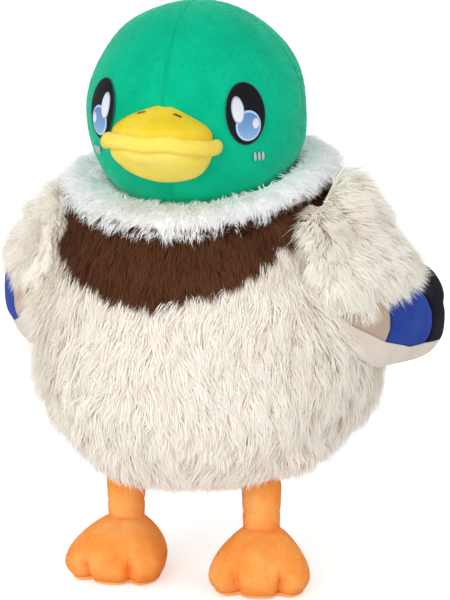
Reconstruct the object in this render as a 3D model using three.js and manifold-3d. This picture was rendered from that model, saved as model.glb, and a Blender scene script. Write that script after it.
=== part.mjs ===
// Plush duck: a round fur body, a ball head with a bill, two wings, two legs and two feet.
// Millimetres. +Z is up, the duck faces -Y, its left side is +X, and its soles stand at Z = 0.
// Every soft piece is a cover with its filling as a solid of its own inside.
import * as THREE from 'three';
import { mergeVertices } from 'three/addons/utils/BufferGeometryUtils.js';
import Module from 'manifold-3d';

const wasm = await Module();
wasm.setup();

// Clearances between pieces
const fit = {
  seamGap: 0.4, // between two pieces that are sewn edge to edge
  fillingGap: 0.5, // between a cover and its filling
  socketGap: 0.8, // round a ball that turns in its socket
  deepGap: 3, // between what turns and the filling or wall behind its cover
  stitchGap: 0.3, // under an embroidered patch
};

// Fabric thicknesses
const cloth = { furThickness: 6, plushThickness: 3 };

// The duck's left is +X
const sides = [
  ['left', 1],
  ['right', -1],
];

// How finely the round forms are faceted, as counts
const facets = { tiny: 8, small: 12, coarse: 16, medium: 20, fine: 32 };

// Egg-shaped body: the widest ring is low, and the top leans forward into the neck
const body = {
  halfWidth: 114,
  frontDepth: 113,
  backDepth: 93,
  centreHeight: 142,
  lowerHeight: 84,
  upperHeight: 176,
  topLeanLength: 20,
  bottomLeanLength: 16,
};

// Ball-shaped head, which turns about its own centre
const head = { radius: 72, forwardLength: 28, height: 310, neckHoleRadius: 30 };

// Neck collar: a ring round an axis through the head's centre, tilted forward
const collar = { tiltDegrees: 16, dropHeight: 42, seatGap: 1.52, halfWidth: 17, halfHeight: 12 };

// Chest band: the front of the cover above a tilted plane
const chest = { frontHeight: 197, slopeDegrees: 30 };

// Bill, measured from the head's centre in a frame whose front is tilted up
const bill = {
  pitchDegrees: 8,
  seatLength: 2, // from the domes' middle to the ball's front
  halfWidth: 31.5,
  halfLength: 31,
  lipHeight: -22,
  lipThickness: 9.5,
  lipOverhangLength: 6.4,
  upperHeight: 25.8,
  lowerHeight: 24.7,
  wallThickness: 3,
  domePower: 0.8, // below 1 makes the outline's rim steeper
  lipPower: 0.4,
  frontShare: 0.45, // of the rise that is left at the front
};
const nostril = { sideLength: 11.5, aheadLength: 9, halfLength: 3.2, halfWidth: 0.9, thickness: 0.8 };

// Embroidery on the head: directions in degrees from straight ahead and above level
const eyeBlack = { sideDegrees: 41.9, upDegrees: 5, tiltDegrees: 0, halfWidth: 13.9, halfHeight: 20.5 };
const eyeIris = { sideDegrees: 42.7, upDegrees: -0.5, tiltDegrees: 0, halfWidth: 8.8, halfHeight: 9.7 };
const largeHighlight = { sideDegrees: 37, upDegrees: 7.6, tiltDegrees: 6, halfWidth: 4.2, halfHeight: 8.7 };
const smallHighlight = { sideDegrees: 46, upDegrees: 0.6, tiltDegrees: 0, halfWidth: 2.5, halfHeight: 3.6 };
// Each oval with its layer above the head and its colour
const eyePatches = [
  ['eye_black', eyeBlack, 0, 'eyeBlack'],
  ['eye_iris', eyeIris, 1, 'irisBlue'],
  ['eye_highlight_large', largeHighlight, 2, 'eyeWhite'],
  ['eye_highlight_small', smallHighlight, 2, 'eyeWhite'],
];
const patch = { thickness: 0.8 };
// A patch's reach and layer from its inner middle over the rim to its outer middle, as shares
const widePatchShares = [[0, 0], [0.55, 0], [1, 0], [1, 1], [0.55, 1], [0, 1]];
const smallPatchShares = [[0, 0], [1, 0], [1, 1], [0, 1]];
const cheek = {
  sideDegrees: 51,
  upDegrees: -17.3,
  tiltDegrees: 16,
  pitchLength: 3.1,
  halfWidth: 0.9,
  halfHeight: 3.2,
  bars: 3,
};

// Wing: a padded leaf that hangs from the shoulder and lies along the body's side
const wing = {
  standOffLength: 1.29, // of the hinge outside the body's surface
  hingeForwardLength: 22,
  hingeHeight: 246,
  yawDegrees: 24.6,
  leanDegrees: 7.5,
  rootRadius: 9,
  rootLength: 24,
  chordLength: 125,
  spanLength: 100,
  halfThickness: 14,
  bowDepth: 8,
  edgePower: 0.8, // below 1 makes the leaf's rim blunter
  liningDepth: 2,
  bandFrontHeight: 37,
  bandRearHeight: 56,
};
// The leaf's outline, front edge to rear edge, as shares of chord and span from the hinge's middle
const wingOutlineShares = [
  [-0.3, 0.04], [-0.29, 0.45], [-0.19, 0.8], [0, 0.97], [0.29, 1.0], [0.53, 1.0], [0.65, 0.93],
  [0.668, 0.78], [0.652, 0.62], [0.57, 0.46], [0.42, 0.36], [0.32, 0.2], [0.21, 0.04], [0.04, -0.04],
];
const wingCentreShares = [0.2, 0.52];
// Where the band's panels end along the chord
const wingPanelShares = { start: -0.35, taupe: 0.14, blue: 0.5, black: 0.8 };

// Legs and feet
const leg = {
  sideLength: 47,
  forwardLength: 38,
  hipDropHeight: 3.24, // of the hip's middle below the body's underside
  hipRadius: 13,
  ankleHeight: 38,
  ankleRadius: 12,
  holeRadius: 5,
};
const foot = {
  toeLength: 46,
  toeHalfWidth: 32,
  toeHeight: 17,
  soleThickness: 3,
  ankleSpreadRadius: 24,
  middleShare: 0.3, // how far forward the toes' domed middle lies
  edgePower: 0.8,
  crownPower: 0.7,
  anklePower: 3, // how sharply the toes turn up into the ankle
};
// One half of the foot's outline from the middle toe's tip round to the heel, as shares of spread and reach
const footOutlineShares = [
  [0, -1], [0.3, -0.96], [0.46, -0.82], [0.76, -0.9], [1, -0.74], [1, -0.46],
  [0.9, -0.12], [0.78, 0.28], [0.5, 0.58], [0, 0.7],
];

// Tail: a short, upturned wedge at the back
const tail = {
  halfWidth: 24,
  halfLength: 34,
  halfThickness: 11,
  height: 150,
  standOffLength: 5.1, // of its middle outside the body's widest ring
  tiltDegrees: 24,
};

const colours = {
  cream: { color: 0xe8dfcf, roughness: 0.95 },
  brown: { color: 0x4a2d1d, roughness: 0.95 },
  white: { color: 0xe7ece6, roughness: 0.95 },
  green: { color: 0x0aa97f, roughness: 0.85 },
  amber: { color: 0xecc834, roughness: 0.85 },
  paleYellow: { color: 0xf8dd59, roughness: 0.85 },
  yellow: { color: 0xf4de62, roughness: 0.85 },
  stitchGrey: { color: 0xb3a0a2, roughness: 0.6 },
  darkThread: { color: 0x6b5230, roughness: 0.6 },
  eyeBlack: { color: 0x1f2122, roughness: 0.45 },
  irisBlue: { color: 0x6c90b4, roughness: 0.45 },
  eyeWhite: { color: 0xe6e8f0, roughness: 0.45 },
  taupe: { color: 0xc2a995, roughness: 0.85 },
  blue: { color: 0x314893, roughness: 0.85 },
  black: { color: 0x2a232c, roughness: 0.85 },
  lining: { color: 0xd3c9c2, roughness: 0.85 },
  orange: { color: 0xfd9e4b, roughness: 0.85 },
  filling: { color: 0xf4f4f1, roughness: 1.0 },
};
const materials = {};
for (const [name, look] of Object.entries(colours)) {
  materials[name] = new THREE.MeshStandardMaterial({ ...look, metalness: 0 });
}

const radians = THREE.MathUtils.degToRad;

// A closed surface between two poles: rings of points from the first pole to the last
function closedForm(rings, around, pointAt) {
  const positions = [];
  const triangles = [];
  const place = (point) => positions.push(point.x, point.y, point.z);
  place(pointAt(0, 0));
  for (let ring = 1; ring < rings; ring++) {
    for (let step = 0; step < around; step++) {
      place(pointAt(ring / rings, step / around));
    }
  }
  place(pointAt(1, 0));
  const last = (rings - 1) * around + 1;
  const index = (ring, step) => 1 + (ring - 1) * around + (step % around);
  for (let step = 0; step < around; step++) {
    triangles.push(0, index(1, step + 1), index(1, step));
    triangles.push(last, index(rings - 1, step), index(rings - 1, step + 1));
    for (let ring = 1; ring < rings - 1; ring++) {
      const corner = index(ring, step);
      const across = index(ring + 1, step + 1);
      triangles.push(corner, index(ring, step + 1), across, corner, across, index(ring + 1, step));
    }
  }
  const geometry = new THREE.BufferGeometry();
  geometry.setAttribute('position', new THREE.Float32BufferAttribute(positions, 3));
  geometry.setIndex(triangles);
  return geometry;
}

// A solid for cutting and joining, from a closed geometry in the frame that matrix gives
function solidOf(geometry, matrix = new THREE.Matrix4()) {
  const bare = geometry.clone();
  bare.deleteAttribute('normal');
  bare.deleteAttribute('uv');
  bare.applyMatrix4(matrix);
  const merged = mergeVertices(bare);
  const corners = merged.index.array;
  const kept = [];
  for (let face = 0; face < corners.length; face += 3) {
    const [a, b, c] = corners.slice(face, face + 3);
    if (a !== b && b !== c && c !== a) {
      kept.push(a, b, c);
    }
  }
  return new wasm.Manifold(
    new wasm.Mesh({
      numProp: 3,
      vertProperties: new Float32Array(merged.attributes.position.array),
      triVerts: new Uint32Array(kept),
    }),
  );
}

// The geometry of a solid's largest connected piece
function geometryOf(solid) {
  const pieces = solid.decompose();
  const largest = pieces.reduce((best, piece) => (piece.volume() > best.volume() ? piece : best));
  const mesh = largest.getMesh();
  const geometry = new THREE.BufferGeometry();
  geometry.setAttribute('position', new THREE.BufferAttribute(new Float32Array(mesh.vertProperties), 3));
  geometry.setIndex(Array.from(mesh.triVerts));
  return geometry;
}

// The same piece turned over across an axis, with its faces still outward
function mirrored(geometry, axis = 'x') {
  const copy = geometry.clone();
  copy.scale(axis === 'x' ? -1 : 1, 1, axis === 'z' ? -1 : 1);
  const corners = Array.from(copy.index.array);
  for (let face = 0; face < corners.length; face += 3) {
    [corners[face], corners[face + 1]] = [corners[face + 1], corners[face]];
  }
  copy.setIndex(corners);
  return copy;
}

// A named sub-part with its shaded surface
function subPart(name, geometry, materialName) {
  geometry.computeVertexNormals();
  const mesh = new THREE.Mesh(geometry, materials[materialName]);
  mesh.name = name;
  return mesh;
}

function point(x, y, z) {
  return new THREE.Vector3(x, y, z);
}

// How far forward the body's middle lies at a climb from its widest ring
function bodyLean(climb) {
  return (climb < 0 ? body.bottomLeanLength : body.topLeanLength) * Math.sin(climb) ** 2;
}

// The body's form, drawn in from its outer surface by inset: an egg of two halves, leaning forward
function bodyForm(inset, rings, around) {
  return closedForm(rings, around, (rise, turn) => {
    const climb = Math.PI * (rise - 0.5);
    const angle = 2 * Math.PI * turn;
    const depth = Math.sin(angle) < 0 ? body.frontDepth : body.backDepth;
    const height = (climb < 0 ? body.lowerHeight : body.upperHeight) - inset;
    return point(
      (body.halfWidth - inset) * Math.cos(climb) * Math.cos(angle),
      (depth - inset) * Math.cos(climb) * Math.sin(angle) - bodyLean(climb),
      body.centreHeight + height * Math.sin(climb),
    );
  });
}

// The body's half-width at a height and at a place forward of the origin
function bodySide(forward, height) {
  const above = height - body.centreHeight;
  const climb = Math.asin(above / (above < 0 ? body.lowerHeight : body.upperHeight));
  const ahead = forward - bodyLean(climb);
  const depth = (ahead > 0 ? body.frontDepth : body.backDepth) * Math.cos(climb);
  return body.halfWidth * Math.cos(climb) * Math.sqrt(1 - (ahead / depth) ** 2);
}

// The height of the body's underside where a leg stands
function bodyUnderside(side, forward) {
  const ahead = forward - body.bottomLeanLength;
  const depth = ahead > 0 ? body.frontDepth : body.backDepth;
  const share = (side / body.halfWidth) ** 2 + (ahead / depth) ** 2;
  return body.centreHeight - body.lowerHeight * Math.sqrt(1 - share);
}

const hipHeight = bodyUnderside(leg.sideLength, leg.forwardLength) - leg.hipDropHeight;
const hingeSide = bodySide(wing.hingeForwardLength, wing.hingeHeight) + wing.standOffLength;
const billForward = head.radius - bill.seatLength;
const collarRadius = Math.sqrt(head.radius ** 2 - collar.dropHeight ** 2) + collar.halfWidth + collar.seatGap;

// A ball about the origin, with its poles along Z
function ball(radius, around) {
  return new THREE.SphereGeometry(radius, around, around / 2).rotateX(Math.PI / 2);
}

// A rod of the given radius along Z, from one height to another
function rod(radius, from, to, around = facets.medium) {
  return new THREE.CylinderGeometry(radius, radius, to - from, around)
    .rotateX(Math.PI / 2)
    .translate(0, 0, (from + to) / 2);
}

// The frame whose origin is the head's centre and whose Z is the tilted neck axis
const neckFrame = new THREE.Group();
neckFrame.position.set(0, -head.forwardLength, head.height);
neckFrame.rotation.x = radians(collar.tiltDegrees);
neckFrame.updateMatrix();
const neckMatrix = neckFrame.matrix;
const headMatrix = new THREE.Matrix4().makeTranslation(0, -head.forwardLength, head.height);

// The collar's ring, grown by clearance, about the neck axis
function collarRing(clearance) {
  const width = collar.halfWidth + clearance;
  return new THREE.TorusGeometry(collarRadius, width, facets.small - 2, facets.fine)
    .scale(1, 1, (collar.halfHeight + clearance) / width)
    .translate(0, 0, -collar.dropHeight);
}

// The wing's local frame: X outward from the body, Y along the chord to the rear, Z up
function wingGroup(side) {
  const group = new THREE.Group();
  group.position.set(side * hingeSide, -wing.hingeForwardLength, wing.hingeHeight);
  group.rotation.z = -side * radians(wing.yawDegrees);
  group.updateMatrix();
  return group;
}
const wingMatrix = wingGroup(1).matrix;
const intoWing = wingMatrix.clone().invert();

// The frame in which X is the wing's thickness and Z runs up its leaning span
const wingLean = new THREE.Matrix4().makeRotationY(-radians(wing.leanDegrees));

// The rounded roll along the shoulder seam, about the wing's hinge axis
function wingRoot(clearance) {
  const radius = wing.rootRadius + clearance;
  return new THREE.CapsuleGeometry(radius, wing.rootLength, facets.tiny / 2, facets.small);
}

// The wing's padded leaf, drawn in from its outer surface by inset
function wingLeaf(inset, rings, around) {
  const placeOf = ([chordShare, spanShare]) =>
    point(0, chordShare * wing.chordLength, -spanShare * wing.spanLength);
  const outline = new THREE.CatmullRomCurve3(wingOutlineShares.map(placeOf), true);
  const centre = placeOf(wingCentreShares);
  const form = closedForm(rings, around, (rise, turn) => {
    const climb = Math.PI * (rise - 0.5);
    const spoke = outline.getPoint(turn).sub(centre);
    const reach = spoke.length() - inset;
    const share = Math.cos(climb) ** wing.edgePower;
    const place = centre.clone().add(spoke.setLength(reach * share));
    const along = (-2 * place.z) / wing.spanLength - 1;
    const bow = wing.bowDepth * Math.max(0, 1 - along * along);
    place.x = (wing.halfThickness - inset) * Math.sin(climb) + bow;
    return place;
  });
  return form.applyMatrix4(wingLean);
}

// A box that fills one side of a plane across X, Y or Z, in the frame that matrix gives
function halfSpace(axis, start, direction, matrix) {
  const size = 4 * body.upperHeight;
  const centre = point(0, 0, 0).setComponent('xyz'.indexOf(axis), start + (direction * size) / 2);
  const box = new THREE.BoxGeometry(size, size, size).translate(centre.x, centre.y, centre.z);
  return solidOf(box, matrix);
}

// Body, chest band, filling and tail
function makeTrunk() {
  const trunk = new THREE.Group();
  const recessed = (solid, clearance, around) => {
    const hip = ball(leg.hipRadius + clearance, around / 2);
    const recesses = [
      solidOf(ball(head.radius + clearance, around), headMatrix),
      solidOf(collarRing(clearance), neckMatrix),
    ];
    for (const [, side] of sides) {
      const hipPlace = point(side * leg.sideLength, -leg.forwardLength, hipHeight);
      recesses.push(solidOf(hip, new THREE.Matrix4().setPosition(hipPlace)));
      recesses.push(solidOf(wingRoot(clearance), wingGroup(side).matrix));
    }
    return recesses.reduce((rest, recess) => rest.subtract(recess), solid);
  };

  const hollow = solidOf(bodyForm(cloth.furThickness, facets.coarse / 2, facets.coarse));
  const closedShell = solidOf(bodyForm(0, facets.coarse, facets.fine)).subtract(hollow);
  const shell = recessed(closedShell, fit.socketGap, facets.fine);
  const filling = solidOf(bodyForm(cloth.furThickness + fit.fillingGap, facets.coarse / 2, facets.coarse));
  const innerFilling = recessed(filling, fit.deepGap, facets.coarse);
  trunk.add(subPart('body_filling', geometryOf(innerFilling), 'filling'));

  const bandPlane = new THREE.Matrix4()
    .makeTranslation(0, -body.frontDepth, chest.frontHeight)
    .multiply(new THREE.Matrix4().makeRotationX(radians(chest.slopeDegrees)));
  const aboveBand = halfSpace('z', 0, 1, bandPlane);
  const belowBand = halfSpace('z', -fit.seamGap, -1, bandPlane);
  trunk.add(subPart('body_fur_cover', geometryOf(shell.intersect(belowBand)), 'cream'));
  trunk.add(subPart('chest_band', geometryOf(shell.intersect(aboveBand)), 'brown'));

  const bodySolid = solidOf(bodyForm(-fit.seamGap, facets.coarse, facets.fine));
  const tailForm = closedForm(facets.tiny, facets.coarse, (rise, turn) => {
    const climb = Math.PI * (rise - 0.5);
    const angle = 2 * Math.PI * turn;
    return point(
      tail.halfWidth * Math.cos(climb) * Math.cos(angle),
      tail.halfLength * Math.cos(climb) * Math.sin(angle),
      tail.halfThickness * Math.sin(climb),
    );
  });
  const tailFrame = new THREE.Matrix4()
    .makeTranslation(0, body.backDepth + tail.standOffLength, tail.height)
    .multiply(new THREE.Matrix4().makeRotationX(radians(tail.tiltDegrees)));
  trunk.add(subPart('tail', geometryOf(solidOf(tailForm, tailFrame).subtract(bodySolid)), 'cream'));
  return trunk;
}

// Collar: a ring that the head's ball sits in
function makeCollar() {
  const ring = solidOf(collarRing(0));
  const headBall = solidOf(ball(head.radius + fit.socketGap, facets.fine));
  const group = new THREE.Group();
  group.position.copy(neckFrame.position);
  group.rotation.copy(neckFrame.rotation);
  group.add(subPart('neck_collar', geometryOf(ring.subtract(headBall)), 'white'));
  return group;
}

// The height of a bill dome's surface above the lip's plane
function domeHeight(rise, inset, climb, ahead) {
  const fall = bill.frontShare + ((1 - bill.frontShare) * (ahead + bill.halfLength)) / (2 * bill.halfLength);
  return (rise - inset) * Math.max(0, Math.sin(climb)) * fall;
}

// One half of the bill above the lip's plane, drawn in by inset, with its flat side at floor
function billDome(rise, inset, floor) {
  return closedForm(facets.small / 2, facets.coarse, (stage, turn) => {
    const climb = Math.PI * (stage - 0.5);
    const angle = 2 * Math.PI * turn;
    const share = Math.cos(climb) ** bill.domePower;
    const ahead = (bill.halfLength - inset) * share * Math.sin(angle);
    const height = climb > 0 ? domeHeight(rise, inset, climb, ahead) : floor;
    return point((bill.halfWidth - inset) * share * Math.cos(angle), ahead - billForward, height);
  });
}

// The bill's two domes with their fillings, the lip between them and the nostril stitches
function makeBill() {
  const group = new THREE.Group();
  group.rotation.x = -radians(bill.pitchDegrees);
  const headBall = solidOf(ball(head.radius + fit.seamGap, facets.fine));
  const halves = [
    { name: 'bill_upper', rise: bill.upperHeight, material: 'amber', way: 1 },
    { name: 'bill_lower', rise: bill.lowerHeight, material: 'yellow', way: -1 },
  ];
  for (const half of halves) {
    const start = bill.lipHeight + half.way * (bill.lipThickness / 2 + fit.seamGap);
    const frame = new THREE.Matrix4().makeTranslation(0, 0, start);
    const dome = (inset, floor) => {
      const shape = billDome(half.rise, inset, floor);
      return solidOf(half.way > 0 ? shape : mirrored(shape, 'z'), frame);
    };
    const cover = dome(0, 0).subtract(dome(bill.wallThickness, -fit.seamGap)).subtract(headBall);
    const filling = dome(bill.wallThickness + fit.fillingGap, 0).subtract(headBall);
    group.add(subPart(half.name, geometryOf(cover), half.material));
    group.add(subPart(`${half.name}_filling`, geometryOf(filling), 'filling'));
  }

  const lip = closedForm(facets.small / 2, facets.medium, (stage, turn) => {
    const climb = Math.PI * (stage - 0.5);
    const angle = 2 * Math.PI * turn;
    const share = Math.cos(climb) ** bill.lipPower;
    return point(
      (bill.halfWidth + bill.lipOverhangLength) * share * Math.cos(angle),
      (bill.halfLength + bill.lipOverhangLength) * share * Math.sin(angle) - billForward,
      bill.lipHeight + (bill.lipThickness / 2) * Math.sin(climb),
    );
  });
  group.add(subPart('bill_lip', geometryOf(solidOf(lip).subtract(headBall)), 'paleYellow'));

  for (const [sideName, side] of sides) {
    const stitch = patchForm(smallPatchShares, facets.tiny, (across, along, layer) => {
      const x = nostril.sideLength + across * nostril.halfLength;
      const ahead = along * nostril.halfWidth - nostril.aheadLength;
      const share = Math.hypot(x / bill.halfWidth, ahead / bill.halfLength);
      const surface = domeHeight(bill.upperHeight, 0, Math.acos(share ** (1 / bill.domePower)), ahead);
      const base = bill.lipHeight + bill.lipThickness / 2 + fit.seamGap;
      return point(x, ahead - billForward, base + surface + fit.stitchGap + layer * nostril.thickness);
    });
    group.add(subPart(`nostril_stitch_${sideName}`, side > 0 ? stitch : mirrored(stitch), 'darkThread'));
  }
  return group;
}

// A thin oval patch whose places are given by shares across and along it and by its layer, 0 or 1
function patchForm(stepShares, around, placeAt) {
  const rings = stepShares.length - 1;
  return closedForm(rings, around, (stage, turn) => {
    const [reach, layer] = stepShares[Math.round(stage * rings)];
    const angle = 2 * Math.PI * turn;
    return placeAt(reach * Math.cos(angle), reach * Math.sin(angle), layer);
  });
}

// An embroidered oval that follows the head's ball
function headPatch(oval, layer, stepShares, around) {
  const facing = new THREE.Euler(radians(-oval.upDegrees), 0, radians(oval.sideDegrees), 'ZXY');
  const base = head.radius + fit.stitchGap + layer * (patch.thickness + fit.stitchGap);
  return patchForm(stepShares, around, (across, along, step) => {
    const spot = point(across * oval.halfWidth, 0, along * oval.halfHeight);
    spot.applyAxisAngle(point(0, -1, 0), radians(oval.tiltDegrees));
    spot.y = -head.radius;
    return spot.setLength(base + step * patch.thickness).applyEuler(facing);
  });
}

// Head cover, its filling, the bill and the embroidery
function makeHead() {
  const group = new THREE.Group();
  group.position.copy(neckFrame.position);
  const neckHole = solidOf(
    rod(head.neckHoleRadius, -2 * head.radius, 0),
    new THREE.Matrix4().makeRotationX(radians(collar.tiltDegrees)),
  );
  const outer = solidOf(ball(head.radius, facets.fine));
  const hollow = solidOf(ball(head.radius - cloth.plushThickness, facets.coarse));
  group.add(subPart('head_cover', geometryOf(outer.subtract(hollow).subtract(neckHole)), 'green'));
  const fillingRadius = head.radius - cloth.plushThickness - fit.fillingGap;
  group.add(subPart('head_filling', ball(fillingRadius, facets.coarse), 'filling'));
  group.add(makeBill());

  for (const [sideName, side] of sides) {
    const addPatch = (name, geometry, materialName) =>
      group.add(subPart(`${name}_${sideName}`, side > 0 ? geometry : mirrored(geometry), materialName));
    for (const [name, oval, layer, materialName] of eyePatches) {
      const shape = layer > 0
        ? headPatch(oval, layer, smallPatchShares, facets.small)
        : headPatch(oval, layer, widePatchShares, facets.coarse);
      addPatch(name, shape, materialName);
    }
    for (let bar = 0; bar < cheek.bars; bar++) {
      const across = (bar - (cheek.bars - 1) / 2) * cheek.pitchLength;
      const sideDegrees = cheek.sideDegrees + THREE.MathUtils.radToDeg(across / head.radius);
      const shape = headPatch({ ...cheek, sideDegrees }, 0, smallPatchShares, facets.tiny);
      addPatch(`cheek_stitch_${bar + 1}`, shape, 'stitchGrey');
    }
  }
  return group;
}

// The wing's covers and filling for the left side, in the wing's own frame
function wingPieces() {
  const bodyWith = (extra) => solidOf(bodyForm(-fit.deepGap - extra, facets.small, facets.medium), intoWing);
  const root = solidOf(wingRoot(0));
  const leaf = (inset) =>
    solidOf(wingLeaf(inset, facets.small / 2, facets.medium))
      .intersect(halfSpace('z', -inset, -1))
      .subtract(bodyWith(inset));
  const shell = leaf(0).add(root).subtract(leaf(cloth.plushThickness).subtract(root));

  const liningZone = (extra) =>
    bodyWith(cloth.plushThickness + extra)
      .add(halfSpace('x', extra - wing.liningDepth, -1, wingLean))
      .subtract(solidOf(wingRoot(fit.seamGap)));
  const outerShell = shell.subtract(liningZone(fit.seamGap));

  const rearward = wing.chordLength * wingPanelShares.black;
  const bandTilt = Math.atan2(wing.bandRearHeight - wing.bandFrontHeight, rearward);
  const bandPlane = wingLean
    .clone()
    .multiply(new THREE.Matrix4().makeTranslation(0, 0, wing.bandFrontHeight - wing.spanLength))
    .multiply(new THREE.Matrix4().makeRotationX(bandTilt));
  const band = outerShell.intersect(halfSpace('z', -fit.seamGap, -1, bandPlane));
  const chordSlice = (from, to) =>
    band
      .intersect(halfSpace('y', wing.chordLength * from + fit.seamGap / 2, 1, wingLean))
      .intersect(halfSpace('y', wing.chordLength * to - fit.seamGap / 2, -1, wingLean));
  const { start, taupe, blue, black } = wingPanelShares;
  return [
    ['fur_sleeve', outerShell.intersect(halfSpace('z', 0, 1, bandPlane)), 'cream'],
    ['taupe_panel', chordSlice(start, taupe), 'taupe'],
    ['blue_panel', chordSlice(taupe, blue), 'blue'],
    ['black_tip', chordSlice(blue, black), 'black'],
    ['lining', shell.intersect(liningZone(0)), 'lining'],
    ['filling', leaf(cloth.plushThickness + fit.fillingGap).subtract(root), 'filling'],
  ].map(([name, solid, materialName]) => [name, geometryOf(solid), materialName]);
}

function makeWing(pieces, sideName, side) {
  const group = wingGroup(side);
  for (const [name, geometry, materialName] of pieces) {
    group.add(subPart(`wing_${name}_${sideName}`, side > 0 ? geometry : mirrored(geometry), materialName));
  }
  return group;
}

// The leg's form, drawn in by inset: two half balls joined by a tube that tapers to the ankle
function legForm(inset, quarterRings, around) {
  const rings = 2 * quarterRings + 1;
  return closedForm(rings, around, (stage, turn) => {
    const ring = Math.round(stage * rings);
    const atAnkle = ring <= quarterRings;
    const quarters = (atAnkle ? ring : ring - 1) / quarterRings - 1;
    const climb = (Math.PI / 2) * quarters;
    const angle = 2 * Math.PI * turn;
    const radius = (atAnkle ? leg.ankleRadius : leg.hipRadius) - inset;
    const base = atAnkle ? leg.ankleHeight - hipHeight : 0;
    const reach = radius * Math.cos(climb);
    return point(reach * Math.cos(angle), reach * Math.sin(angle), base + radius * Math.sin(climb));
  });
}

// Leg cover and filling, about the hip
function makeLeg(sideName, side) {
  const group = new THREE.Group();
  group.position.set(side * leg.sideLength, -leg.forwardLength, hipHeight);
  const cover = solidOf(legForm(0, facets.tiny / 2, facets.coarse))
    .subtract(solidOf(legForm(cloth.plushThickness, facets.tiny / 2, facets.small)))
    .subtract(solidOf(rod(leg.holeRadius, 0, 2 * leg.hipRadius, facets.tiny)));
  const filling = legForm(cloth.plushThickness + fit.fillingGap, facets.tiny / 2, facets.small);
  group.add(subPart(`leg_cover_${sideName}`, geometryOf(cover), 'orange'));
  group.add(subPart(`leg_filling_${sideName}`, filling, 'filling'));
  return group;
}

// The foot's outline with its three toes, as a closed curve about the ankle's axis
const otherHalfShares = footOutlineShares.slice(1, -1).reverse().map(([across, along]) => [-across, along]);
const footOutline = new THREE.CatmullRomCurve3(
  [...footOutlineShares, ...otherHalfShares].map(([across, along]) =>
    point(across * foot.toeHalfWidth, along * foot.toeLength, 0),
  ),
  true,
);

// The foot above a flat floor, drawn in by inset: rounded toes that rise to the ankle
function footForm(inset, floor, rings, around) {
  const centre = point(0, -foot.middleShare * foot.toeLength, 0);
  return closedForm(rings, around, (stage, turn) => {
    const climb = Math.PI * (stage - 0.5);
    const spoke = footOutline.getPoint(turn).sub(centre);
    const reach = (spoke.length() - inset) * Math.cos(climb) ** foot.edgePower;
    const place = centre.clone().add(spoke.setLength(reach));
    if (climb <= 0) {
      place.z = floor;
      return place;
    }
    const low = foot.soleThickness + fit.seamGap;
    const toes = foot.toeHeight - inset;
    const fromAnkle = Math.hypot(place.x, place.y) / (foot.ankleSpreadRadius - inset);
    const nearAnkle = Math.exp(-(fromAnkle ** foot.anklePower));
    const rise = toes * Math.sin(climb) ** foot.crownPower;
    const ankleTop = leg.ankleHeight + leg.ankleRadius - inset - low;
    place.z = low + rise + Math.max(0, ankleTop - rise) * nearAnkle;
    return place;
  });
}

// Foot upper, sole and filling, about the ankle's axis on the floor
function makeFoot(sideName, side) {
  const group = new THREE.Group();
  group.position.set(side * leg.sideLength, -leg.forwardLength, 0);
  const low = foot.soleThickness + fit.seamGap;
  const socket = solidOf(
    ball(leg.ankleRadius + fit.socketGap, facets.coarse),
    new THREE.Matrix4().makeTranslation(0, 0, leg.ankleHeight),
  ).add(solidOf(rod(foot.ankleSpreadRadius, leg.ankleHeight - fit.seamGap, 2 * hipHeight, facets.small)));
  const outer = solidOf(footForm(0, low, facets.tiny, facets.fine));
  const hollow = solidOf(footForm(cloth.plushThickness, foot.soleThickness, facets.tiny, facets.coarse));
  const filling = solidOf(footForm(cloth.plushThickness + fit.fillingGap, low, facets.tiny, facets.coarse));
  group.add(subPart(`foot_upper_${sideName}`, geometryOf(outer.subtract(hollow).subtract(socket)), 'orange'));
  group.add(subPart(`foot_filling_${sideName}`, geometryOf(filling.subtract(socket)), 'filling'));

  const rim = footOutline.getPoints(facets.fine).slice(0, -1);
  const soleShape = new THREE.Shape(rim.map((spot) => new THREE.Vector2(spot.x, spot.y)));
  const sole = new THREE.ExtrudeGeometry(soleShape, { depth: foot.soleThickness, bevelEnabled: false });
  group.add(subPart(`foot_sole_${sideName}`, geometryOf(solidOf(sole)), 'orange'));
  return group;
}

const duck = new THREE.Group();
duck.add(makeTrunk(), makeCollar(), makeHead());
const pieces = wingPieces();
for (const [sideName, side] of sides) {
  duck.add(makeWing(pieces, sideName, side), makeLeg(sideName, side), makeFoot(sideName, side));
}

// The origin lies at the middle of the duck's length and width, on the floor
duck.updateMatrixWorld(true);
duck.position.y = -new THREE.Box3().setFromObject(duck, true).getCenter(point(0, 0, 0)).y;

export default duck;
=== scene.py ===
import math

import bmesh
import bpy
import numpy as np
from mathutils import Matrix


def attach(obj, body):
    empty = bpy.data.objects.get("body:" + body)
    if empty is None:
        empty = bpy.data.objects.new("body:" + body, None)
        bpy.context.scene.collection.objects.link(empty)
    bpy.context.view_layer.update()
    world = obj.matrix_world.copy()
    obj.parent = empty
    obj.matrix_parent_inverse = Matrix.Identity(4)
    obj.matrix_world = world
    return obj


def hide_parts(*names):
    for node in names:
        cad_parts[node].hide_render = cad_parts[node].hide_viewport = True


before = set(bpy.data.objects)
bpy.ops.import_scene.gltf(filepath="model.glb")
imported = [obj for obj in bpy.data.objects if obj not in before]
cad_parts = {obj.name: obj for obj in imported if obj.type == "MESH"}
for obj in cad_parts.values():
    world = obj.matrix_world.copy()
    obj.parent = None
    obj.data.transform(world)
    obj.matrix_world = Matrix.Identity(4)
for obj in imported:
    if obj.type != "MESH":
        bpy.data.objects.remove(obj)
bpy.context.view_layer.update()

# Plush duck: long-pile body, chest, collar and sleeves, short-pile head, bill, wing panels, legs and feet.
# Metres. +Z is up, the duck faces -Y, its left side is +X.
sides = (("left", 1.0), ("right", -1.0))
bodyAxisY = 0.00413  # the body's own axis stands this far back of the origin
down = np.array((0, 0, -1.0))
furCount = 1.0

# Numbers for arrays of points


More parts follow.
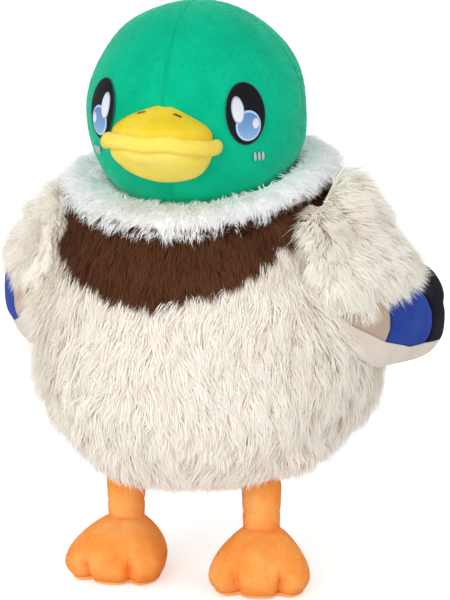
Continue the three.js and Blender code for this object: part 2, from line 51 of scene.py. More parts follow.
# Vectors brought to a length of one
def unit(vectors):
    return vectors / np.maximum(np.linalg.norm(vectors, axis=-1, keepdims=True), 1e-12)


# Dot products of two lists of vectors, as a column
def dots(a, b):
    return np.sum(a * b, axis=-1, keepdims=True)


# Points from their three coordinates, each an array or a number
def points3(x, y, z):
    return np.stack(np.broadcast_arrays(x, y, z), axis=-1).astype(float)


# Rises from 0 at start to 1 at start + run, and stays within them; it falls where the run is negative
def fade(value, start, run):
    return np.clip((value - start) / run, 0, 1)


# Bell curve: e to the minus square of value / width
def bell(value, width):
    return np.exp(-((value / width) ** 2))


# Angles of a closed surface: climb from -90 to 90 degrees over the rise, and once round over the turn
def roundAngles(turn, rise):
    return np.pi * (rise - 0.5), 2 * np.pi * turn


# Two coordinates turned about the third axis
def turned(a, b, angle):
    c, s = math.cos(angle), math.sin(angle)
    return a * c - b * s, a * s + b * c


# Smooth noise between about -1 and 1: sines along random directions, added up
def smoothNoise(points, wavelength, seed, waves=9):
    rng = np.random.default_rng(seed)
    directions = unit(rng.normal(size=(waves, 3)))
    speeds = rng.uniform(0.7, 1.5, waves) * 2 * math.pi / wavelength
    phases = rng.uniform(0, 2 * math.pi, waves)
    total = np.zeros(points.shape[:-1])
    for direction, speed, phase in zip(directions, speeds, phases):
        total += np.sin(points @ direction * speed + phase)
    return total / math.sqrt(waves)


# Smooth noise along each of the three axes
def noise3(points, wavelength, seed):
    return np.stack([smoothNoise(points, wavelength, seed + k) for k in range(3)], -1)


# Middle of the nearest lock: cells of one size, each with a middle shifted at random, nearest of 27
def lockCentres(points, cellSize, seed):
    cell = np.floor(points / cellSize).astype(np.int64)
    best = np.full(len(points), np.inf)
    centres = np.zeros_like(points)
    keys = np.zeros(len(points))
    for step in np.ndindex(3, 3, 3):
        near = cell + np.array(step) - 1
        mixed = (near[:, 0] * 73856093) ^ (near[:, 1] * 19349663) ^ (near[:, 2] * 83492791) ^ seed
        key = (mixed & 0xFFFFF) / 1048576.0
        shift = np.stack([np.modf(np.abs(np.sin(key * k) * 43758.5))[0] for k in (91.7, 57.3, 33.1)], -1)
        middle = (near + shift) * cellSize
        gap = np.linalg.norm(points - middle, axis=1)
        closer = gap < best
        best[closer] = gap[closer]
        centres[closer] = middle[closer]
        keys[closer] = key[closer]
    return centres, keys


# Closed smooth curve through points: between each pair a cubic that runs along the line from the point
# before to the point after, sampled evenly
def closedCurve(corners, samples):
    corners = np.asarray(corners, float)
    count = len(corners)
    place = np.linspace(0, count, samples, endpoint=False)
    index = place.astype(int)
    t = (place - index)[:, None]
    a, b, c, d = (corners[(index + k) % count] for k in (-1, 0, 1, 2))
    return 0.5 * ((2 * b) + (c - a) * t + (2 * a - 5 * b + 4 * c - d) * t**2 + (3 * b - a - 3 * c + d) * t**3)


# Meshes from arrays


# A mesh object from points and lists of faces with 3 or 4 corners; extra values per
# point go in as attributes, each as a number, an array or a formula of the points
def addPiece(name, points, faceLists, material, smooth=True, values=None):
    mesh = bpy.data.meshes.new(name)
    points = np.asarray(points, float).reshape(-1, 3)
    faceLists = [np.asarray(faces, np.int32) for faces in faceLists if len(faces)]
    corners = np.concatenate([faces.ravel() for faces in faceLists])
    totals = np.concatenate([np.full(len(faces), faces.shape[1], np.int32) for faces in faceLists])
    starts = np.concatenate([[0], np.cumsum(totals)[:-1]]).astype(np.int32)
    mesh.vertices.add(len(points))
    mesh.vertices.foreach_set("co", points.astype(np.float32).ravel())
    mesh.loops.add(len(corners))
    mesh.loops.foreach_set("vertex_index", corners)
    mesh.polygons.add(len(totals))
    mesh.polygons.foreach_set("loop_start", starts)
    mesh.polygons.foreach_set("loop_total", totals)
    mesh.update(calc_edges=True)
    mesh.polygons.foreach_set("use_smooth", np.full(len(totals), smooth))
    for key, value in (values or {}).items():
        data = np.broadcast_to(value(points) if callable(value) else value, len(points))
        mesh.attributes.new(key, "FLOAT", "POINT").data.foreach_set("value", data.astype(np.float32))
    mesh.materials.append(material)
    piece = bpy.data.objects.new(name, mesh)
    bpy.context.scene.collection.objects.link(piece)
    return piece


# Doubles merged and faces turned outward
def fixNormals(piece):
    work = bmesh.new()
    work.from_mesh(piece.data)
    bmesh.ops.remove_doubles(work, verts=work.verts, dist=1e-6)
    bmesh.ops.recalc_face_normals(work, faces=work.faces)
    work.to_mesh(piece.data)
    work.free()


# Faces of a grid of rows by columns, wrapped round along its columns where asked
def gridFaces(rows, columns, wrap):
    row, column = np.meshgrid(np.arange(rows - 1), np.arange(columns if wrap else columns - 1), indexing="ij")
    after = (column + 1) % columns
    return np.stack([row * columns + column, row * columns + after,
                     (row + 1) * columns + after, (row + 1) * columns + column], -1).reshape(-1, 4)


# A closed surface from rings of points, whose first and last rings are single poles
def polarPiece(name, surface, rings, around, material, values=None, mend=False):
    rise = np.linspace(0, 1, rings + 1)
    turn = np.arange(around) / around
    grid = surface(turn[None, :] + 0 * rise[1:-1, None], rise[1:-1, None] + 0 * turn[None, :])
    low = surface(np.zeros(1), np.zeros(1)).reshape(1, 3)
    high = surface(np.zeros(1), np.ones(1)).reshape(1, 3)
    points = np.concatenate([low, grid.reshape(-1, 3), high])
    quads = gridFaces(rings - 1, around, True) + 1
    step = np.arange(around)
    after = (step + 1) % around
    last = len(points) - 1
    bottom = np.stack([0 * step, after + 1, step + 1], -1)
    top = np.stack([0 * step + last, last - around + step, last - around + after], -1)
    piece = addPiece(name, points, [quads, bottom, top], material, values=values)
    if mend:
        fixNormals(piece)
    return piece


# A closed panel: an outer sheet, a copy drawn in by the cloth's thickness, and a rim between them
def closedSheet(name, outer, inward, thickness, material, values=None):
    rows, columns = outer.shape[:2]
    inner = outer + inward * thickness
    points = np.concatenate([outer.reshape(-1, 3), inner.reshape(-1, 3)])
    faces = gridFaces(rows, columns, False)
    count = rows * columns
    ringIndex = np.concatenate([np.arange(columns), np.arange(1, rows) * columns + columns - 1,
                                (rows - 1) * columns + np.arange(columns - 2, -1, -1),
                                np.arange(rows - 2, 0, -1) * columns])
    after = np.roll(ringIndex, -1)
    rim = np.stack([ringIndex, ringIndex + count, after + count, after], -1)
    given = {key: np.tile(np.broadcast_to(data, (rows, columns)).ravel(), 2)
             for key, data in (values or {}).items()}
    piece = addPiece(name, points, [faces, faces[:, ::-1] + count, rim], material, values=given)
    fixNormals(piece)
    return piece


# Random places on a surface given by turn and rise, spread evenly by area, with
# outward normals; strict drops the places of a cell that lie outside what is kept
def scatter(surface, count, rng, keep=None, cells=(220, 160), outward=1.0, strict=False):
    turn = (np.arange(cells[0]) + 0.5) / cells[0]
    rise = (np.arange(cells[1]) + 0.5) / cells[1]
    turns, rises = np.meshgrid(turn, rise, indexing="ij")
    step = 1e-4
    across = surface(turns + step, rises) - surface(turns - step, rises)
    along = surface(turns, np.clip(rises + step, 0, 1)) - surface(turns, np.clip(rises - step, 0, 1))
    weight = np.linalg.norm(np.cross(across, along), axis=-1)
    if keep is not None:
        weight = weight * keep(surface(turns, rises))
    total = np.cumsum(weight.ravel())
    pick = np.searchsorted(total, rng.random(count) * total[-1])
    pick = np.minimum(pick, weight.size - 1)
    u = (pick // cells[1] + rng.random(count)) / cells[0]
    v = np.clip((pick % cells[1] + rng.random(count)) / cells[1], 0.002, 0.998)
    roots = surface(u, v)
    normals = unit(np.cross(surface(u + step, v) - surface(u - step, v),
                            surface(u, v + step) - surface(u, v - step)))
    good = keep(roots) if strict else np.ones(count, bool)
    return roots[good], normals[good] * outward


# Three corners round a middle: wide along side, flattened along inward
def threeCorners(middle, side, inward, size, angle, flatness):
    angles = [angle + corner * 2 * math.pi / 3 for corner in range(3)]
    return [middle + size * (side * np.cos(a) + inward * np.sin(a) * flatness) for a in angles]


# Long pile: how hairs of all pieces vary, bend and thin out
hairShape = {"lockSeed": 977, "varied": 0.1, "shortest": 0.45, "longest": 1.6, "flattest": 0.04,
             "steepest": 1.4, "outBend": 0.45, "runStart": 0.6, "lockPower": 1.5, "rootWidth": 0.5,
             "bendWidth": 0.38, "flatness": 0.45, "facing": 0.25, "piecesOf": 19000}


# Fur: each hair is a closed, curved spike with three sides and one bend,
# its widest side turned outward. It leaves the skin by its rise, bends
# along the comb direction, and its tip is drawn to the middle of its lock
def furPiece(name, roots, normals, comb, look, material, seed):
    shape = hairShape
    rng = np.random.default_rng(seed)
    count = len(roots)
    comb = unit(comb - normals * dots(comb, normals))
    centres, key = lockCentres(roots, look["lock"], shape["lockSeed"])
    swing = (key - 0.5) * look["swing"] + rng.normal(0, look["stray"], count)
    comb = unit(comb * np.cos(swing)[:, None] + np.cross(normals, comb) * np.sin(swing)[:, None])
    spread = 1 + look["uneven"] * (np.modf(key * 17.3)[0] - 0.5) + rng.normal(0, shape["varied"], count)
    length = look["length"] * np.clip(spread, shape["shortest"], shape["longest"])
    lift = look["lift"] + look["liftSpread"] * (np.modf(key * 7.7)[0] - 0.5) \
        + rng.normal(0, shape["varied"], count)
    if "scale" in look:
        length = length * look["scale"](roots)
    if "raise" in look:
        lift = lift + look["raise"](roots)
    length = length[:, None]
    lift = np.clip(lift, shape["flattest"], shape["steepest"])[:, None]
    toLock = centres - roots
    toLock = (toLock - normals * dots(toLock, normals)) * look["gather"]
    curl = np.cross(normals, comb) * rng.normal(0, look["curl"], count)[:, None]

    # Places at a share of each hair's length
    def along(t):
        out = normals * np.sin(lift) * ((1 + shape["outBend"]) * t - shape["outBend"] * t * t)
        run = comb * np.cos(lift) * (shape["runStart"] * t + (1 - shape["runStart"]) * t * t)
        fall = down * look["droop"] * t * t
        bent = out + run + fall + curl * math.sin(math.pi * t)
        return roots + length * bent + toLock * t ** shape["lockPower"]

    spine = [along(t) for t in (0.0, 0.5, 1.0)]
    width = look["width"] * rng.uniform(0.7, 1.3, count)[:, None]
    facing = rng.normal(math.pi / 2, shape["facing"], count)[:, None]
    rows = []
    for stage, share in enumerate((shape["rootWidth"], shape["bendWidth"])):
        ahead = unit(spine[stage + 1] - spine[stage])
        side = unit(np.cross(ahead, normals))
        rows += threeCorners(spine[stage], side, np.cross(ahead, side), width * share, facing,
                             shape["flatness"])
    points = np.stack(rows + [spine[2]], 1)
    start = (np.arange(count) * 7)[:, None]
    quads = [start + np.array([[k, (k + 1) % 3, 3 + (k + 1) % 3, 3 + k]]) for k in range(3)]
    tips = [start + np.array([[3 + k, 3 + (k + 1) % 3, 6]]) for k in range(3)]
    base = [start + np.array([[2, 1, 0]])]
    heights = np.tile(np.array((0, 0, 0, 0.5, 0.5, 0.5, 1.0)), count)
    tone = np.repeat(0.5 * np.modf(key * 29.1)[0] + 0.5 * rng.random(count), 7)
    return addPiece(name, points, [np.concatenate(quads), np.concatenate(tips + base)], material,
                    smooth=False, values={"pile": heights, "tone": tone})


# The fur of one area, shared out round the upright axis over pieces of some 19,000 hairs each
def furPieces(name, roots, normals, comb, look, material, seed, body, nodes=()):
    parts = max(1, math.ceil(len(roots) / (hairShape["piecesOf"] * furCount)))
    order = np.argsort(np.arctan2(roots[:, 0], bodyAxisY - roots[:, 1]))
    for part, chosen in enumerate(np.array_split(order, parts)):
        title = name if parts == 1 else f"{name}_{part + 1}"
        piece = furPiece(title, roots[chosen], normals[chosen], comb[chosen], look, material, seed + part)
        rideOn(piece, body, nodes if part == 0 else ())


pileLook = {"length": 0.0012, "width": 0.0006, "upright": 0.2, "stray": 0.1, "flatness": 0.3}


# Short pile: each hair is a leaning closed pyramid with three sides
def pilePiece(name, roots, normals, comb, look, material, seed):
    rng = np.random.default_rng(seed)
    count = len(roots)
    comb = unit(comb - normals * dots(comb, normals) + 1e-9)
    lean = unit(normals * look["upright"] + comb + rng.normal(0, look["stray"], (count, 3)))
    side = unit(np.cross(lean, normals))
    length = (look["length"] * rng.uniform(0.7, 1.15, count))[:, None]
    turn = rng.normal(math.pi / 2, 0.3, count)[:, None]
    rows = threeCorners(roots, side, np.cross(lean, side), look["width"] * 0.5, turn, look["flatness"])
    points = np.stack(rows + [roots + lean * length], 1)
    start = (np.arange(count) * 4)[:, None]
    faces = [start + np.array([face]) for face in ((0, 1, 3), (1, 2, 3), (2, 0, 3), (2, 1, 0))]
    heights = np.tile(np.array((0, 0, 0, 1.0)), count)
    return addPiece(name, points, [np.concatenate(faces)], material, smooth=False,
                    values={"pile": heights, "tone": np.repeat(rng.random(count), 4)})


# Short pile over a surface: combed one way, stirred by noise of a strength and a wavelength; three seeds
def pileOver(name, surface, count, comb, stir, look, material, seeds, body, **where):
    roots, normals = scatter(surface, int(count * furCount), np.random.default_rng(seeds[0]), **where)
    comb = comb + stir[0] * noise3(roots, stir[1], seeds[1])
    rideOn(pilePiece(name, roots, normals, comb, look, material, seeds[2]), body)


# A piece goes with its body, and the solids it stands for are hidden
def rideOn(piece, body, nodes=()):
    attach(piece, body)
    if nodes:
        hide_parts(*nodes)


# Materials: colours are sRGB from 0 to 255, as read off fabric


# To the linear numbers that a shader takes
def tint(colour):
    return tuple(((c / 255 + 0.055) / 1.055) ** 2.4 if c > 10 else c / 255 / 12.92 for c in colour)


# A brushed cloth's base: its colour, how matt it is and its sheen
def newMaterial(name, colour, roughness, sheen, sheenTint=(255, 255, 255), sheenRoughness=0.5,
                gloss=0.05):
    material = bpy.data.materials.new(name)
    material.use_nodes = True
    material.diffuse_color = (*tint(colour), 1)
    shader = material.node_tree.nodes["Principled BSDF"]
    for socket, value in (("Base Color", (*tint(colour), 1)), ("Roughness", roughness),
                          ("Specular IOR Level", gloss),
                          ("Sheen Weight", sheen), ("Sheen Roughness", sheenRoughness),
                          ("Sheen Tint", (*tint(sheenTint), 1))):
        shader.inputs[socket].default_value = value
    return material, material.node_tree.nodes, material.node_tree.links, shader


# A value that the mesh holds for each of its points
def attributeNode(nodes, name):
    attribute = nodes.new("ShaderNodeAttribute")
    attribute.attribute_name = name
    return attribute.outputs["Fac"]


# Noise on the object's own coordinates
def noiseNode(nodes, links, scale, detail=3.0, roughness=0.5):
    place = nodes.new("ShaderNodeTexCoord")
    noise = nodes.new("ShaderNodeTexNoise")
    noise.inputs["Scale"].default_value = scale
    noise.inputs["Detail"].default_value = detail
    noise.inputs["Roughness"].default_value = roughness
    links.new(place.outputs["Object"], noise.inputs["Vector"])
    return noise.outputs["Fac"]


# Colours at places between 0 and 1
def rampNode(nodes, links, factor, *stops):
    ramp = nodes.new("ShaderNodeValToRGB")
    links.new(factor, ramp.inputs["Fac"])
    elements = ramp.color_ramp.elements
    while len(elements) < len(stops):
        elements.new(0.5)
    for element, (place, colour) in zip(elements, stops):
        element.position = place
        element.color = (*tint(colour), 1)
    return ramp.outputs["Color"]


# Two colours mixed by a number or by another node
def mixNode(nodes, links, factor, first, second):
    mix = nodes.new("ShaderNodeMix")
    mix.data_type = "RGBA"
    if isinstance(factor, float):
        mix.inputs[0].default_value = factor
    else:
        links.new(factor, mix.inputs[0])
    for index, value in ((6, first), (7, second)):
        if isinstance(value, tuple):
            mix.inputs[index].default_value = (*tint(value), 1)
        else:
            links.new(value, mix.inputs[index])
    return mix.outputs[2]


# Relief of a shader from a height
def bumpNode(nodes, links, height, strength, distance, shader):
    bump = nodes.new("ShaderNodeBump")
    bump.inputs["Strength"].default_value = strength
    bump.inputs["Distance"].default_value = distance
    links.new(height, bump.inputs["Height"])
    links.new(bump.outputs["Normal"], shader.inputs["Normal"])


# Long pile: darker at the root and pale at the tip, a painted shade deep in the pile, with locks and patches
# of another tone
def furMaterial(name, root, middle, tip, shade, band=None):
    material, nodes, links, shader = newMaterial(name, middle, 0.85, 0.3, tip)
    # Painted shade: the root colour darkens each hair towards the skin, where shade falls between the locks
    along = rampNode(nodes, links, attributeNode(nodes, "pile"), (0.0, root), (0.45, middle), (1.0, tip))
    byLock = rampNode(nodes, links, attributeNode(nodes, "tone"), (0.0, shade), (0.3, middle), (1.0, tip))
    patches = rampNode(nodes, links, noiseNode(nodes, links, 48.0), (0.42, (0, 0, 0)), (0.8, (149, 149, 149)))
    colour = mixNode(nodes, links, patches, mixNode(nodes, links, 0.4, along, byLock), shade)
    if band:
        colour = mixNode(nodes, links, attributeNode(nodes, "band"), colour, band)
    links.new(colour, shader.inputs["Base Color"])
    return material


# Short pile and smooth plush: brushed patches, fine grain and a soft sheen
def plushMaterial(name, dark, main, light, seamShade=None, sheen=0.5, rimTint=None):
    material, nodes, links, shader = newMaterial(name, main, 0.85, sheen, rimTint or light, 0.35)
    brushed = rampNode(nodes, links, noiseNode(nodes, links, 38.0, 4.0, 0.55), (0.3, dark), (0.5, main),
                       (0.72, light))
    grain = noiseNode(nodes, links, 1900.0, 2.0, 0.6)
    colour = mixNode(nodes, links, 0.22, brushed, rampNode(nodes, links, grain, (0.3, dark), (0.6, light)))
    if seamShade:
        colour = mixNode(nodes, links, attributeNode(nodes, "seam"), colour, seamShade)
    links.new(colour, shader.inputs["Base Color"])
    bumpNode(nodes, links, grain, 0.35, 0.0004, shader)
    return material


# Satin stitch: parallel threads as bands across the patch,
# shaded from its top to its foot, with a paler rim
def threadMaterial(name, dark, main, light, angle=0.0, rim=None, rimStart=0.84):
    material, nodes, links, shader = newMaterial(name, main, 0.5, 0.1, light, gloss=0.15)
    turnedPlace = nodes.new("ShaderNodeMapping")
    turnedPlace.inputs["Rotation"].default_value = (0.0, angle, 0.0)
    wave = nodes.new("ShaderNodeTexWave")
    wave.wave_type = "BANDS"
    wave.bands_direction = "Z"
    wave.inputs["Scale"].default_value = 0.314 / 0.0007  # a thread every 0.7 mm
    wave.inputs["Distortion"].default_value = 0.6
    wave.inputs["Detail"].default_value = 1.0
    links.new(nodes.new("ShaderNodeTexCoord").outputs["Object"], turnedPlace.inputs["Vector"])
    links.new(turnedPlace.outputs["Vector"], wave.inputs["Vector"])
    colour = rampNode(nodes, links, wave.outputs["Fac"], (0.1, dark), (0.5, main), (0.95, light))
    if rim:
        graded = rampNode(nodes, links, attributeNode(nodes, "tone"), (0.0, light), (0.5, main), (0.9, dark))
        colour = mixNode(nodes, links, 0.65, colour, graded)
        edge = rampNode(nodes, links, attributeNode(nodes, "pile"), (rimStart, (0, 0, 0)),
                        (rimStart + 0.02, (255, 255, 255)))
        colour = mixNode(nodes, links, edge, colour, rim)
    links.new(colour, shader.inputs["Base Color"])
    bumpNode(nodes, links, wave.outputs["Fac"], 0.35, 0.0002, shader)
    return material


# Loose fibre: fine pale clouds
def fillingMaterial(name):
    material, nodes, links, shader = newMaterial(name, (240, 240, 236), 0.95, 0.3)
    clouds = noiseNode(nodes, links, 160.0, 6.0, 0.7)
    links.new(rampNode(nodes, links, clouds, (0.3, (214, 214, 208)), (0.7, (248, 248, 245))),
              shader.inputs["Base Color"])
    bumpNode(nodes, links, clouds, 0.7, 0.003, shader)
    return material


creamFur = furMaterial("creamFur", (250, 241, 228), (255, 250, 241), (255, 254, 249),
                       (248, 238, 225))
# Painted shade: the skin under the cream pile is darker than its hairs
creamSkin = furMaterial("creamSkin", (244, 232, 216), (250, 240, 226), (253, 246, 236),
                        (244, 232, 216), band=(70, 42, 28))
brownFur = furMaterial("brownFur", (58, 33, 22), (90, 54, 35), (118, 76, 52), (70, 41, 27))
whiteFur = furMaterial("whiteFur", (242, 242, 244), (252, 252, 253), (254, 254, 255),
                       (243, 243, 245))
greenPlush = plushMaterial("greenPlush", (0, 172, 130), (1, 182, 138), (14, 192, 148),
                           (0, 140, 104), sheen=0.8, rimTint=(130, 225, 195))
amberPlush = plushMaterial("amberPlush", (240, 206, 44), (246, 216, 56), (250, 226, 86),
                           (224, 184, 36))
lipPlush = plushMaterial("paleYellowPlush", (246, 218, 84), (250, 226, 98),
                         (253, 233, 124), (232, 198, 70))
yellowPlush = plushMaterial("yellowPlush", (244, 220, 80), (249, 227, 98), (252, 234, 126),
                            (228, 196, 66))
orangePlush = plushMaterial("orangePlush", (250, 142, 52), (255, 166, 78), (255, 190, 114),
                            (232, 130, 46))
solePlush = plushMaterial("solePlush", (252, 176, 92), (255, 186, 106), (255, 196, 122))
taupePlush = plushMaterial("taupePlush", (190, 165, 145), (200, 176, 156), (208, 186, 168),
                           (150, 126, 108))
bluePlush = plushMaterial("bluePlush", (42, 64, 146), (48, 74, 160), (62, 90, 176),
                          (28, 44, 104))
blackPlush = plushMaterial("blackPlush", (28, 23, 32), (36, 31, 40), (50, 44, 56),
                           (14, 12, 16), sheen=0.2)
liningPlush = plushMaterial("liningPlush", (222, 208, 197), (232, 219, 208), (240, 229, 219),
                            (176, 160, 146))
blackThread = threadMaterial("blackThread", (8, 9, 11), (15, 16, 19), (24, 26, 30),
                             rim=(60, 78, 86), rimStart=0.955)
blueThread = threadMaterial("blueThread", (78, 122, 182), (112, 156, 208), (158, 196, 232),
                            rim=(176, 210, 244))
whiteThread = threadMaterial("whiteThread", (206, 209, 224), (225, 228, 241),
                             (238, 240, 250), rim=(170, 177, 198))
greyThread = threadMaterial("greyThread", (168, 160, 166), (202, 196, 202), (224, 220, 226),
                            angle=0.4)
darkThread = threadMaterial("darkThread", (92, 70, 38), (112, 88, 50), (140, 112, 66),
                            angle=1.5708)
fillingFibre = fillingMaterial("fillingFibre")
print("materials ready")

# Body: an egg of two halves, as its solid is, with the pile's skin inside its outer surface

bodyShape = {
    "halfWidth": 0.114, "frontDepth": 0.113, "backDepth": 0.093, "centreHeight": 0.142,
    "lowerHeight": 0.084, "upperHeight": 0.176, "topLean": 0.020, "bottomLean": 0.016, "skinInset": 0.0028,
    "lumps": 0.0018, "lumpLength": 0.07, "lumpCentre": bodyAxisY - 0.01, "underHead": 0.0015,
    "shelf": -0.047, "shelfInside": 0.05, "shelfOutside": 0.086,
}
headBall = {"middle": np.array((0.0, bodyAxisY - 0.028, 0.310)), "radius": 0.072}
neckTilt = math.radians(16)
neckAxis = np.array((0, -math.sin(neckTilt), math.cos(neckTilt)))
chestPlane = {"height": 0.197, "front": bodyAxisY - 0.113, "slope": math.tan(math.radians(30)),
              "wave": 0.0008, "leftSlope": 0.22, "leftFrom": -0.035, "leftOver": 0.03, "end": 0.012,
              "endBelow": 0.01, "belowCollar": 0.084}


# Ring of half-width and depth times cos(climb), raised by
# height times sin(climb), leaning forward by sin squared
def bodySurface(turn, rise, inset=0.0):
    shape = bodyShape
    climb, angle = roundAngles(turn, rise)
    depth = np.where(np.sin(angle) < 0, shape["frontDepth"], shape["backDepth"]) - inset
    height = np.where(climb < 0, shape["lowerHeight"], shape["upperHeight"]) - inset
    lean = np.where(climb < 0, shape["bottomLean"], shape["topLean"]) * np.sin(climb) ** 2
    return points3((shape["halfWidth"] - inset) * np.cos(climb) * np.cos(angle),
                   depth * np.cos(climb) * np.sin(angle) - lean + bodyAxisY,
                   shape["centreHeight"] + height * np.sin(climb))


# Level of a point against the body's egg grown by some length: below 1 it is inside
def bodyLevel(points, grown):
    shape = bodyShape
    z = points[..., 2] - shape["centreHeight"]
    height = np.where(z < 0, shape["lowerHeight"], shape["upperHeight"])
    lean = np.where(z < 0, shape["bottomLean"], shape["topLean"]) * np.clip(z / height, -1, 1) ** 2
    y = points[..., 1] - bodyAxisY + lean
    depth = np.where(y < 0, shape["frontDepth"], shape["backDepth"])
    return ((points[..., 0] / (shape["halfWidth"] + grown)) ** 2 + (y / (depth + grown)) ** 2
            + (z / (height + grown)) ** 2)


# Neck frame: along is the height up the tilted neck axis from
# the head's middle, away is the distance from it
def neckPlace(points):
    ray = points - headBall["middle"]
    along = ray @ neckAxis
    return along, np.linalg.norm(ray - along[..., None] * neckAxis, axis=-1)


# Points over the head's dish move down the neck's axis to just under the ball
def underHead(points, gap):
    along, away = neckPlace(points)
    floor = -np.sqrt(np.maximum(0, (headBall["radius"] + gap) ** 2 - away**2))
    covered = (away < headBall["radius"] + gap) & (along > floor)
    return points + np.where(covered, floor - along, 0)[..., None] * neckAxis


# Points inside the head's ball move out along their ray to its surface
def clearOfHead(points, gap):
    ray = points - headBall["middle"]
    far = np.linalg.norm(ray, axis=-1, keepdims=True)
    reach = headBall["radius"] + gap
    return np.where(far < reach, headBall["middle"] + unit(ray) * reach, points)


# Further from the head's middle than its ball and a gap
def outsideHead(points, gap):
    return np.linalg.norm(points - headBall["middle"], axis=-1) > headBall["radius"] + gap


# The egg with soft lumps, a dish under the head and a shelf under the collar
def skinSurface(turn, rise):
    shape = bodyShape
    points = bodySurface(turn, rise, shape["skinInset"])
    out = unit(points - np.array((0, shape["lumpCentre"], shape["centreHeight"])))
    points = points + out * (shape["lumps"] * smoothNoise(points, shape["lumpLength"], 11))[..., None]
    points = underHead(points, shape["underHead"])
    along, away = neckPlace(points)
    under = (away < shape["shelfOutside"]) & (away > shape["shelfInside"]) & (along > shape["shelf"])
    return points + np.where(under, shape["shelf"] - along, 0)[..., None] * neckAxis


# The band lies above a sloping line, and ends behind the shoulders
def inChestBand(points):
    chest = chestPlane
    x, y, z = points[..., 0], points[..., 1], points[..., 2]
    line = chest["height"] + (y - chest["front"]) * chest["slope"] \
        + chest["leftSlope"] * np.maximum(x, 0) * fade(y, chest["leftFrom"], -chest["leftOver"])
    end = chest["end"] + chest["endBelow"] * (neckPlace(points)[1] > chest["belowCollar"])
    return (z > line + chest["wave"] * smoothNoise(points, 0.03, 5)) & (y < end)


# Wings: a padded leaf that hangs from the shoulder

wingShape = {
    "hinge": np.array((0.092, bodyAxisY - 0.022, 0.246)), "yaw": math.radians(24.6),
    "lean": math.radians(10), "rightTurn": math.radians(6), "rightLean": math.radians(2),
    "shoulderRise": {1.0: 0.010, -1.0: -0.009}, "shoulderAt": 0.008, "shoulderWidth": 0.03, "chord": 0.125,
    "span": 0.100, "halfThickness": 0.014, "bow": 0.008, "edgePower": 0.8, "clothRoom": 0.0025,
    "bodyGap": 0.0035, "step": 0.0008, "bandFront": 0.037, "bandRear": 0.056, "rimShare": 0.07,
}
wingOutlineShares = ((-0.3, 0.04), (-0.29, 0.45), (-0.19, 0.8), (0, 0.97), (0.29, 1.0), (0.53, 1.0),
                     (0.65, 0.93), (0.668, 0.78), (0.652, 0.62), (0.57, 0.46), (0.42, 0.36), (0.32, 0.2),
                     (0.21, 0.04), (0.04, -0.04))
wingSizes = np.array((wingShape["chord"], -wingShape["span"]))
wingCentre = np.array((0.2, 0.52)) * wingSizes


# The curve through the outline's corners, its rear drawn back, its tip lowered
# and its upper rim raised by some millimetres, with a small notch behind
def makeWingOutline():
    outline = closedCurve(wingOutlineShares, 720) * wingSizes
    y, z = outline[:, 0], outline[:, 1]
    y += 0.005 * fade(y, 0.04, 0.04) * fade(z, 0, -0.06) - 0.0018 * bell(z + 0.073, 0.004) * (y > 0.07)
    z -= 0.005 * fade(z, -0.08, -0.015) * fade(y, 0, 0.02)
    z += 0.006 * fade(z, -0.03, 0.03) * fade(y, -0.02, 0.02)
    return outline


wingOutline = makeWingOutline()
chordFront, chordRear = wingOutline[:, 0].min(), wingOutline[:, 0].max()
outlineSpokes = wingOutline - wingCentre
outlineOrder = np.argsort(np.arctan2(outlineSpokes[:, 1], outlineSpokes[:, 0]))
outlineSpokes = outlineSpokes[outlineOrder]
outlineAngles = np.arctan2(outlineSpokes[:, 1], outlineSpokes[:, 0])
outlineReach = np.linalg.norm(outlineSpokes, axis=1)
outlineY, outlineZ = wingOutline.T
rearPoints = wingOutline[(outlineY > 0.03) & (outlineY > 0.0705 + 0.5 * (outlineZ + 0.0466))]
rearPoints = rearPoints[np.argsort(rearPoints[:, 1])]

# Seams and the edge of the sleeve's pile on the outer face:
# places along the chord with their heights, or the reverse
hemLine = ((-0.0375, -0.056), (-0.034, -0.059), (-0.015, -0.073), (-0.001, -0.080), (0.016, -0.088),
           (0.035, -0.093), (0.045, -0.096), (0.061, -0.096), (0.075, -0.097), (0.1, -0.097))
fringeLine = ((-0.0375, -0.058), (-0.012, -0.064), (0.001, -0.060), (0.015, -0.057), (0.038, -0.056),
              (0.047, -0.051), (0.063, -0.040), (0.1, -0.03))
taupeLine = ((-0.088, 0.016), (-0.079, 0.019), (-0.071, 0.018), (-0.061, 0.015), (-0.045, 0.012))
blueLine = ((-0.096, 0.061), (-0.090, 0.065), (-0.083, 0.066), (-0.074, 0.064), (-0.064, 0.057),
            (-0.055, 0.047), (-0.040, 0.034))


# A line of pairs read at a place along its first numbers
def lineAt(line, place):
    return np.interp(place, *np.array(line).T)


# The wing's yaw and lean: the right one is turned and leaned a little further out
def wingAngles(side):
    more = 1.0 if side < 0 else 0.0
    return wingShape["yaw"] + more * wingShape["rightTurn"], wingShape["lean"] + more * wingShape["rightLean"]


# Wing plane to the world: leaned outward about the hinge, then turned by the yaw and moved to the shoulder
def wingToWorld(x, y, z, side):
    yaw, lean = wingAngles(side)
    outward, up = turned(x, z, lean)
    hinge = wingShape["hinge"]
    return points3(side * (hinge[0] + outward * math.cos(yaw) + y * math.sin(yaw)),
                   hinge[1] - outward * math.sin(yaw) + y * math.cos(yaw), hinge[2] + up)


# World to the wing's frame: distance out of its plane, place along its chord and height above its hinge
def wingPlace(points, side):
    local = points * np.array((side, 1, 1)) - wingShape["hinge"]
    return *turned(local[..., 0], local[..., 1], wingAngles(side)[0]), local[..., 2]


# How far a place in the wing's plane lies from its centre towards the outline, as a share
def leafShare(y, z):
    spokeY, spokeZ = y - wingCentre[0], z - wingCentre[1]
    reach = np.interp(np.arctan2(spokeZ, spokeY), outlineAngles, outlineReach, period=2 * math.pi)
    return np.hypot(spokeY, spokeZ) / reach


# Falls from 1 to 0 over the last few millimetres before the
# leaf's outline, where the cloths meet and thin out
def rimFall(y, z):
    return fade(leafShare(y, z), 1, -wingShape["rimShare"])


